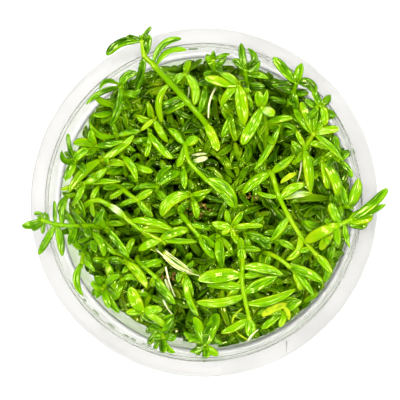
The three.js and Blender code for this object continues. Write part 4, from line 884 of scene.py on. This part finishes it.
YOUNG_SPACING = 3.4
YOUNG_REACH = (4, 6.5)
stems = []
for number, (stem, leaves) in enumerate(SHOOTS, 1):
    node = "shoot_%02d" % number
    corners = points_of(node)
    low = corners[:, 2].min()
    curve = kept_stem(stem, tree_of(node))
    stems.append(curve)
    shade = SHOOT_SHADE[number - 1]
    spans = len(curve.points) - 1
    places = sorted({min((leaf[0] + 1) / spans, 1 - LEAF_SEAT / curve.length) for leaf in leaves})
    start = next((i / 200 for i in range(200) if curve.at(i / 200).z >= low - 1), 0)
    growth = Growth()
    girth = STEM_GIRTH.get(number, STEM_RADIUS)
    growth.stem(curve, start, 1, girth, girth * 0.72, STEM_SHADE.get(number, shade * 0.5 + 0.36), knots=places)
    for index, (at, across, up, height, width, bow, arch) in enumerate(leaves):
        base = curve.at(min((at + 1) / spans, 1 - LEAF_SEAT / curve.length))
        tips = [sighted(across + swing, up + swing, height + lift) for swing, lift in LEAF_MOVES]
        gaps = [np.abs(corners - np.array(tip)).sum(axis=1).min() for tip in tips]
        kept = next((k for k, gap in enumerate(gaps) if gap < 0.05), 0)
        own = LEAF_SHADE.get((number, index), shade + draw(-0.17, 0.15))
        growth.leaf(
            base, tips[kept], width * FULLNESS.get(number, LEAF_FULLNESS), bow, arch + LEAF_MOVES[kept][1] / 4, own,
            roll=draw(-0.35, 0.35), camber=draw(-0.15, 0.3), fold=draw(-0.1, 0.35),
            twist=draw(-0.4, 0.4), bleach=BLEACHED.get((number, index)),
            point=draw(0, 0.85) * (number > 1),
        )
    # Young leaves lower on the stem
    turn = draw(0, pi)
    for place in np.arange(start + 0.12, places[0] - 0.06, YOUNG_SPACING / curve.length):
        turn += pi / 2 + draw(-0.3, 0.3)
        for side in (0, pi):
            reach = draw(*YOUNG_REACH)
            way = spread(curve.way(place), turn + side, draw(0.1, 0.7))
            base = curve.at(place)
            if in_gap(base + way * reach) or in_gap(base + way * reach * 0.6):
                continue
            growth.leaf(
                base, base + way * reach, draw(1.6, 2.3), draw(-0.4, 0.4), 0.5, shade - 0.08,
                camber=draw(0, 0.4), fold=draw(0, 0.4), roll=draw(-0.4, 0.4),
            )
    add_bud(growth, curve, shade)
    piece = growth.build("rotala_" + node, fresh_leaf)
    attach(piece, "root")
    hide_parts(node)


# The undergrowth: the same stems further down, and the many short ones between them

def kept_in(point):
    """A point pulled inside the wall and under the undergrowth's top."""
    limit = wall_radius(point.z) - WALL_GAP
    reach = hypot(point.x, point.y)
    if reach > limit:
        point.x *= limit / reach
        point.y *= limit / reach
    point.z = max(min(point.z, undergrowth_top(point.x, point.y) + 0.3), GEL_TOP + 0.6)
    return point


def add_pairs(growth, curve, start, spacing, shade, reach):
    """Opposite pairs of leaves up a stem, each pair turned a quarter from the last."""
    place = start
    turn = draw(0, pi)
    while place <= 1.0:
        turn += pi / 2 + draw(-0.35, 0.35)
        base = curve.at(place)
        for side in (0, pi):
            way = spread(curve.way(place), turn + side + draw(-0.3, 0.3), draw(-0.1, 0.8))
            tip = kept_in(base + way * (reach * draw(0.7, 1.25)))
            if (tip - base).length > 2 and not (in_gap(tip) or in_gap(base.lerp(tip, 0.6))):
                growth.leaf(
                    base, tip, draw(1.5, 2.6), draw(-1.2, 1.2), draw(-0.1, 1.3),
                    shade + draw(-0.2, 0.2), fine=False, roll=draw(-0.6, 0.6),
                    camber=draw(-0.1, 0.5), fold=draw(-0.1, 0.5), twist=draw(-0.4, 0.4),
                    point=draw(0.1, 0.9),
                )
        place += spacing / curve.length


def pressed(growth):
    """What would reach through the wall is pressed flat against it."""
    for corners in growth.corners:
        reach = np.hypot(corners[:, 0], corners[:, 1])
        limit = wall_radius(corners[:, 2]) - PRESSED_GAP
        corners[:, :2] *= np.minimum(limit / np.maximum(reach, 0.1), 1)[:, None]


quarters = [Growth() for _ in range(4)]


def quarter(point):
    """The quarter of the undergrowth that a place is in."""
    return quarters[(1 if point.x > 0 else 0) + (2 if point.y > 0 else 0)]


# Stems down here are coarser, and start in the gel; fillers are the short ones, thinner towards their tips.
COARSE = {"sides": 6, "pitch": 2}
STEM_ROOT, FILLER_ROOT = 7.6, 7.8
FILLER_RADIUS, FILLER_TIP_RADIUS = 0.5, 0.36

for curve in stems:
    foot = curve.points[0]
    steps = [(i / 200, curve.at(i / 200)) for i in range(200)]
    top = next((t for t, place in steps if place.z >= undergrowth_top(place.x, place.y)), 0.5)
    head = curve.at(top) + curve.way(top) * 0.6
    lower = Bend([Vector((foot.x * 0.93, foot.y * 0.93, STEM_ROOT)), foot, curve.at(top / 2), head])
    growth = quarter(foot)
    growth.stem(lower, 0, 1, STEM_RADIUS, STEM_RADIUS, 0.5, **COARSE)
    add_pairs(growth, lower, 0.3, 4.4, 0.44, 7.5)

GOLDEN_ANGLE = pi * (3 - sqrt(5))
FILLERS = 180
WALL_FILLERS = 90
BANK_FILLERS = 90
# How far from the axis each kind stands
FILLED_RADIUS, WALL_REACH, BANK_REACH = 34.5, (35.2, 36.6), (35.4, 37.2)
# The middle and half the width of each bank up the wall, in radians
BANKS = [(-0.15, 1.3), (2.16, 0.7)]

for k in range(FILLERS + WALL_FILLERS + BANK_FILLERS):
    if k < FILLERS:
        radius = FILLED_RADIUS * sqrt((k + 0.5) / FILLERS) + draw(-0.8, 0.3)
        angle = k * GOLDEN_ANGLE + draw(-0.1, 0.1)
    elif k < FILLERS + WALL_FILLERS:
        radius = draw(*WALL_REACH)
        angle = 2 * pi * (k + draw(-0.4, 0.4)) / WALL_FILLERS
    else:
        radius = draw(*BANK_REACH)
        heading, half = BANKS[k % 3 == 2]
        angle = heading + draw(-half, half)
    x, y = radius * cos(angle), radius * sin(angle)
    top = undergrowth_top(x, y)
    if in_gap(Vector((x, y, top))):
        continue
    lean = draw(0, 2 * pi)
    lean = Vector((cos(lean), sin(lean), 0)) * draw(1, 7)
    head = kept_in(Vector((x, y, 0)) + lean * 0.5 + Vector((0, 0, top - 1.2)))
    curve = Bend([
        Vector((x * 0.84, y * 0.84, FILLER_ROOT)), Vector((x * 0.88, y * 0.88, 18)),
        kept_in(Vector((x, y, 0)) - lean * 0.5 + Vector((0, 0, top - 8))), head,
    ])
    growth = quarter(curve.points[0])
    # Fillers by the wall are painted lighter, as painted light where the neck and the shoots above shade them
    shade = draw(0.24, 0.72) + (0.08 if k >= FILLERS else 0)
    growth.stem(curve, 0, 1, FILLER_RADIUS, FILLER_TIP_RADIUS, shade + 0.08, **COARSE)
    add_pairs(growth, curve, 0.28, 4.6, shade - 0.06, 7.4)
    add_pairs(growth, curve, 1 - 3.4 / curve.length, 1.7, shade, 9.4)

# Leaves lying against the wall along the banks
RIM_LEAVES = 190
RIM_REACH = 38.2
RIM_TOP = 42.9
for k in range(RIM_LEAVES):
    heading, half = BANKS[k % 4 == 3]
    angle = heading + draw(-half, half)
    along, climb = draw(-0.16, 0.16), draw(0.5, 2.2)
    foot_reach, foot_height = draw(35.4, 37.4), draw(39, 41.6)
    base = Vector(polar(foot_reach, angle, foot_height))
    tip = Vector(polar(RIM_REACH, angle + along, min(foot_height + climb, RIM_TOP)))
    if in_gap(tip) or (tip - base).length < 2:
        continue
    quarter(base).leaf(
        base, tip, draw(1.5, 2.3), draw(-0.6, 0.6), draw(0, 0.8), draw(0.3, 0.66),
        fine=False, roll=draw(-0.4, 0.4), camber=draw(-0.1, 0.4), fold=draw(-0.1, 0.4),
        point=draw(0, 0.8),
    )

for index, growth in enumerate(quarters):
    pressed(growth)
    piece = growth.build("rotala_undergrowth_%d" % (index + 1), shaded_inner_leaf)
    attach(piece, "root")
    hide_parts("undergrowth")


# Loose matter lying among the leaves: dead leaves, roots and crumbs

def strand(growth, points, radius, tip_radius):
    """A round strand through points (seen across, seen up, height)."""
    curve = Bend([sighted(*p) for p in points])
    growth.stem(curve, 0, 1, radius, tip_radius, 0.5, sides=6)


def crumb(growth, across, up, height, size):
    """A small lump."""
    centre = sighted(across, up, height)
    rings = []
    for k in range(1, 4):
        girth, level = size * sin(pi * k / 4), -size * 0.7 * cos(pi * k / 4)
        rings.append([
            centre + Vector((
                girth * cos(turn) * draw(0.75, 1.2),
                girth * sin(turn) * draw(0.75, 1.2), level,
            ))
            for turn in np.arange(6) * pi / 3
        ])
    low, high = (centre + Vector((0, 0, size * 0.7 * side)) for side in (-1, 1))
    growth.lump(rings, low, high)


def blade(growth, points, width):
    """A flat dead leaf from its foot to its tip, bowed through a middle point."""
    foot, middle, tip = (sighted(*p) for p in points)
    chord = tip - foot
    aside = Vector((-chord.y, chord.x, 0)).normalized()
    growth.leaf(
        foot, tip, width, (middle - (foot + tip) / 2).dot(aside), middle.z - (foot.z + tip.z) / 2, 0.5,
        camber=0.1, fold=0.3,
    )


def finished(growth, name, material, node="undergrowth"):
    """One piece of loose matter, added to the scene under the root; the node that it lies on is hidden."""
    piece = growth.build(name, material)
    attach(piece, "root")
    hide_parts(node)


dead = Growth()
strand(dead, [(-11.9, -12.3, 41.4), (-9.2, -14.6, 42.2), (-5.4, -17.3, 42.6), (-0.1, -19.4, 41.6)], 0.17, 0.12)
for k in (-2.4, -1.4, -0.5, 1.2, 2.2):
    aside, lift = 0.33 * k, 0.09 * (6 - k * k)
    strand(dead, [
        (-9.6 + 0.51 * aside, -13.6 + 0.86 * aside, 41.2 + lift),
        (-6.4 + 0.68 * aside, -16.1 + 1.14 * aside, 42 + lift),
        (-2.4 + 0.3 * aside, -18.4 + 0.5 * aside, 41.6 + lift),
    ], 0.15 + 0.03 * (k % 1), 0.1)
strand(dead, [(-9.5, -12.6, 41.4), (-7.4, -14.2, 42), (-4.4, -16.4, 41.8)], 0.16, 0.1)
blade(dead, [(-9.5, -20, 40.6), (-8.7, -21.6, 41), (-8.2, -23.2, 40.6)], 1)
blade(dead, [(-2.6, 11.9, 40.6), (-0.6, 12.2, 41), (1.4, 12.3, 40.6)], 0.7)
blade(dead, [(-1.9, 10.4, 40.2), (-0.4, 10.8, 40.8), (1.6, 11.3, 40.4)], 1.5)
finished(dead, "dead_leaves", straw_material("dead_leaf", (0.45, 0.5, 0.12), (0.85, 0.86, 0.5)))

litter = Growth()
for across, up, scatter, count in [
    (-1.6, -2.2, 2.2, 34), (13, 1.4, 1.2, 12), (-9.6, -20, 1.3, 12), (-6.8, -19.4, 1.2, 12),
]:
    for _ in range(count):
        turn, reach = draw(0, 2 * pi), scatter * sqrt(draw(0, 1))
        crumb(
            litter, across + reach * 1.4 * cos(turn), up + reach * sin(turn), UNDERGROWTH_TOP + draw(-1, 2),
            draw(0.22, 0.5),
        )
for across, up, size in [
    (-2.2, -1.3, 0.4), (-0.8, -2.4, 0.34), (0.6, -1, 0.38), (2.2, -2.2, 0.32), (-1.7, -5.4, 0.4),
]:
    crumb(litter, across, up, 39.5, size)
finished(litter, "litter", straw_material("litter", (0.09, 0.05, 0.006), (0.5, 0.33, 0.06)))

roots = Growth()
for points, radius, tip_radius in [
    ([(-9.3, -16.9, 41.6), (-8.4, -20.6, 42), (-6.9, -24.6, 41)], 0.26, 0.16),
    ([(-9.9, -25.4, 41), (-8.8, -27.6, 41.6), (-7.2, -29.5, 41)], 0.28, 0.14),
    ([(3.6, 29.3, 44), (2.5, 27, 44.6), (1.9, 24.6, 44.2), (1.8, 21.6, 43)], 0.3, 0.2),
    ([(-3.2, 29.7, 43), (-3.4, 27.6, 43.4), (-3.9, 25.5, 42.6)], 0.26, 0.14),
    ([(26.4, 13.4, 43), (25.6, 12.4, 43.2), (24.7, 11.2, 42.6)], 0.24, 0.16),
    ([(25.7, 10.3, 43), (25.5, 7.8, 43.4), (24.7, 4.9, 42.8)], 0.24, 0.16),
    ([(11.9, -35.7, 48.6), (13, -34.2, 49), (14.5, -32.9, 48.4)], 0.26, 0.14),
]:
    strand(roots, points, radius, tip_radius)
for across, up, height, size in [
    (6.8, 17, 40.4, 0.26), (7.8, 18.4, 40.4, 0.28), (7.2, 19.6, 40.2, 0.24), (-15.3, -23, 42, 0.36),
    (-6.5, -33.4, 46, 0.4),
]:
    crumb(roots, across, up, height, size)
finished(roots, "roots", straw_material("root", (0.7, 0.68, 0.26), (0.95, 0.94, 0.62)))

# Droplets on the neck's inner face, under its top edge: direction in degrees, height, length, breadth
DROPS = [
    (-134, 48.7, 2.3, 0.9), (-126.4, 48.7, 2.6, 0.9), (-119.5, 48.8, 1.8, 0.8), (-116.6, 48.7, 1.6, 0.7),
    (-112.4, 48.2, 1, 0.7), (-110.2, 48, 1.2, 0.8), (-140, 48.9, 1.2, 0.5), (93.4, 48.7, 2.8, 1),
]
DROP_DEPTH = 0.34
DROP_SEAT = NECK_RADIUS - 0.1


def drop(growth, angle, height, length, broad):
    """A flat drop lying along the wall of the neck."""
    def at(along, girth, a):
        turn = radians(angle) + along * length / 2 / NECK_RADIUS
        return polar(DROP_SEAT - DROP_DEPTH * girth * cos(a), turn, height + broad / 2 * girth * sin(a))

    growth.lump([
        [at(-cos(pi * k / 10), sin(pi * k / 10), a) for a in np.arange(10) * pi / 5]
        for k in range(1, 10)
    ], at(-1, 0, 0), at(1, 0, 0))


drops = Growth()
for angle, height, length, broad in DROPS:
    drop(drops, angle, height, length, broad)
finished(drops, "neck_droplets", plastic_material("droplet", (0.3, 0.4, 0.22), 0.8, 0.1), "cup")

crease = Growth()
strand(crease, [(21.85, -35.6, 49.9), (21.75, -37.1, 50), (21.6, -38.2, 50), (22, -39, 49.9)], 0.14, 0.1)
finished(crease, "flange_crease", seam_shade_plastic, "cup")

yellowed = Growth()
blade(yellowed, [(-10.2, -13, 40.8), (-6.2, -16.2, 41.7), (-1.8, -18.9, 41)], 2.3)
strand(yellowed, [(-4.3, -19.3, 42), (-5, -21, 42.4), (-4.2, -22.2, 42.2), (-2.8, -21.8, 41.8)], 0.3, 0.2)
blade(yellowed, [(24.6, 7.2, 43.4), (22.6, 6.3, 44), (20.3, 4.5, 43.4)], 1.4)
blade(yellowed, [(15.4, -29.4, 46), (18.8, -27.4, 46.8), (22.2, -26.2, 46)], 2.1)
blade(yellowed, [(20.6, -26.8, 46), (22, -28.2, 46.2), (22.3, -30.4, 45.6)], 1.2)
strand(yellowed, [
    (10.6, -27.4, 45.6), (8.4, -29.4, 46), (8, -31.4, 46), (9.4, -33.8, 46.4), (11.7, -35.4, 47),
], 0.28, 0.2)
finished(yellowed, "yellow_leaves", straw_material("yellowed_leaf", (0.22, 0.36, 0.003), (0.5, 0.6, 0.006)))


# Floor, light and camera

FLOOR_HALF, FLOOR_LEVEL = 3, -0.0003
corners = [(x * FLOOR_HALF, y * FLOOR_HALF, FLOOR_LEVEL) for x, y in ((-1, -1), (1, -1), (1, 1), (-1, 1))]
mesh = bpy.data.meshes.new("floor")
mesh.from_pydata(corners, [], [(0, 1, 2, 3)])
floor = shown("floor", mesh, Finish("pale_floor").coated({"Base Color": (0.93, 0.93, 0.93), "Roughness": 0.9}))
floor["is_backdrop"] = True

# A ring of small lamps, every second one further out and lower
SOFTBOXES = 8
SOFTBOX_SIZE = 0.12
SOFTBOX_POWER = 1.85
RING_RADIUS, RING_HEIGHT = 0.37, 0.72
FURTHER_OUT, LOWER = 0.11, 0.12
RING_X, RING_Y = -0.06, 0.03
BRIGHT_SIDE = radians(140)
LIT_POINT = Vector((0, 0, 0.03))
for k in range(SOFTBOXES):
    turn, far = 2 * pi * (k + 0.4) / SOFTBOXES, k % 2
    reach = RING_RADIUS + FURTHER_OUT * far
    light = bpy.data.lights.new("softbox_%02d" % (k + 1), "AREA")
    light.shape = "SQUARE"
    light.size = SOFTBOX_SIZE
    light.energy = SOFTBOX_POWER + 0.1 * cos(turn - BRIGHT_SIDE)
    light.color = (0.98, 0.98, 1.0)
    box = shown(light.name, light)
    box.location = (reach * cos(turn) + RING_X, reach * sin(turn) + RING_Y, RING_HEIGHT - LOWER * far)
    box.rotation_euler = (LIT_POINT - box.location).to_track_quat("-Z", "Y").to_euler()

SKY_COLOUR, SKY_STRENGTH = (1, 1, 0.8, 1), 0.12
world = bpy.data.worlds.new("soft_light")
bpy.context.scene.world = world
world.use_nodes = True
sky = world.node_tree.nodes["Background"]
sky.inputs[0].default_value = SKY_COLOUR
sky.inputs[1].default_value = SKY_STRENGTH

camera = shown("camera", bpy.data.cameras.new("camera"))
camera.data.lens = LENS
camera.data.sensor_width = 36
camera.data.clip_start = 0.01
camera.location = EYE * MM
back = (EYE - AIM).normalized()
aside = Vector((0, 1, 0)).cross(back).normalized()
camera.rotation_euler = Matrix((aside, back.cross(aside), back)).transposed().to_euler()
bpy.context.scene.camera = camera
bpy.context.scene.view_settings.view_transform = "Standard"

low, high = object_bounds()
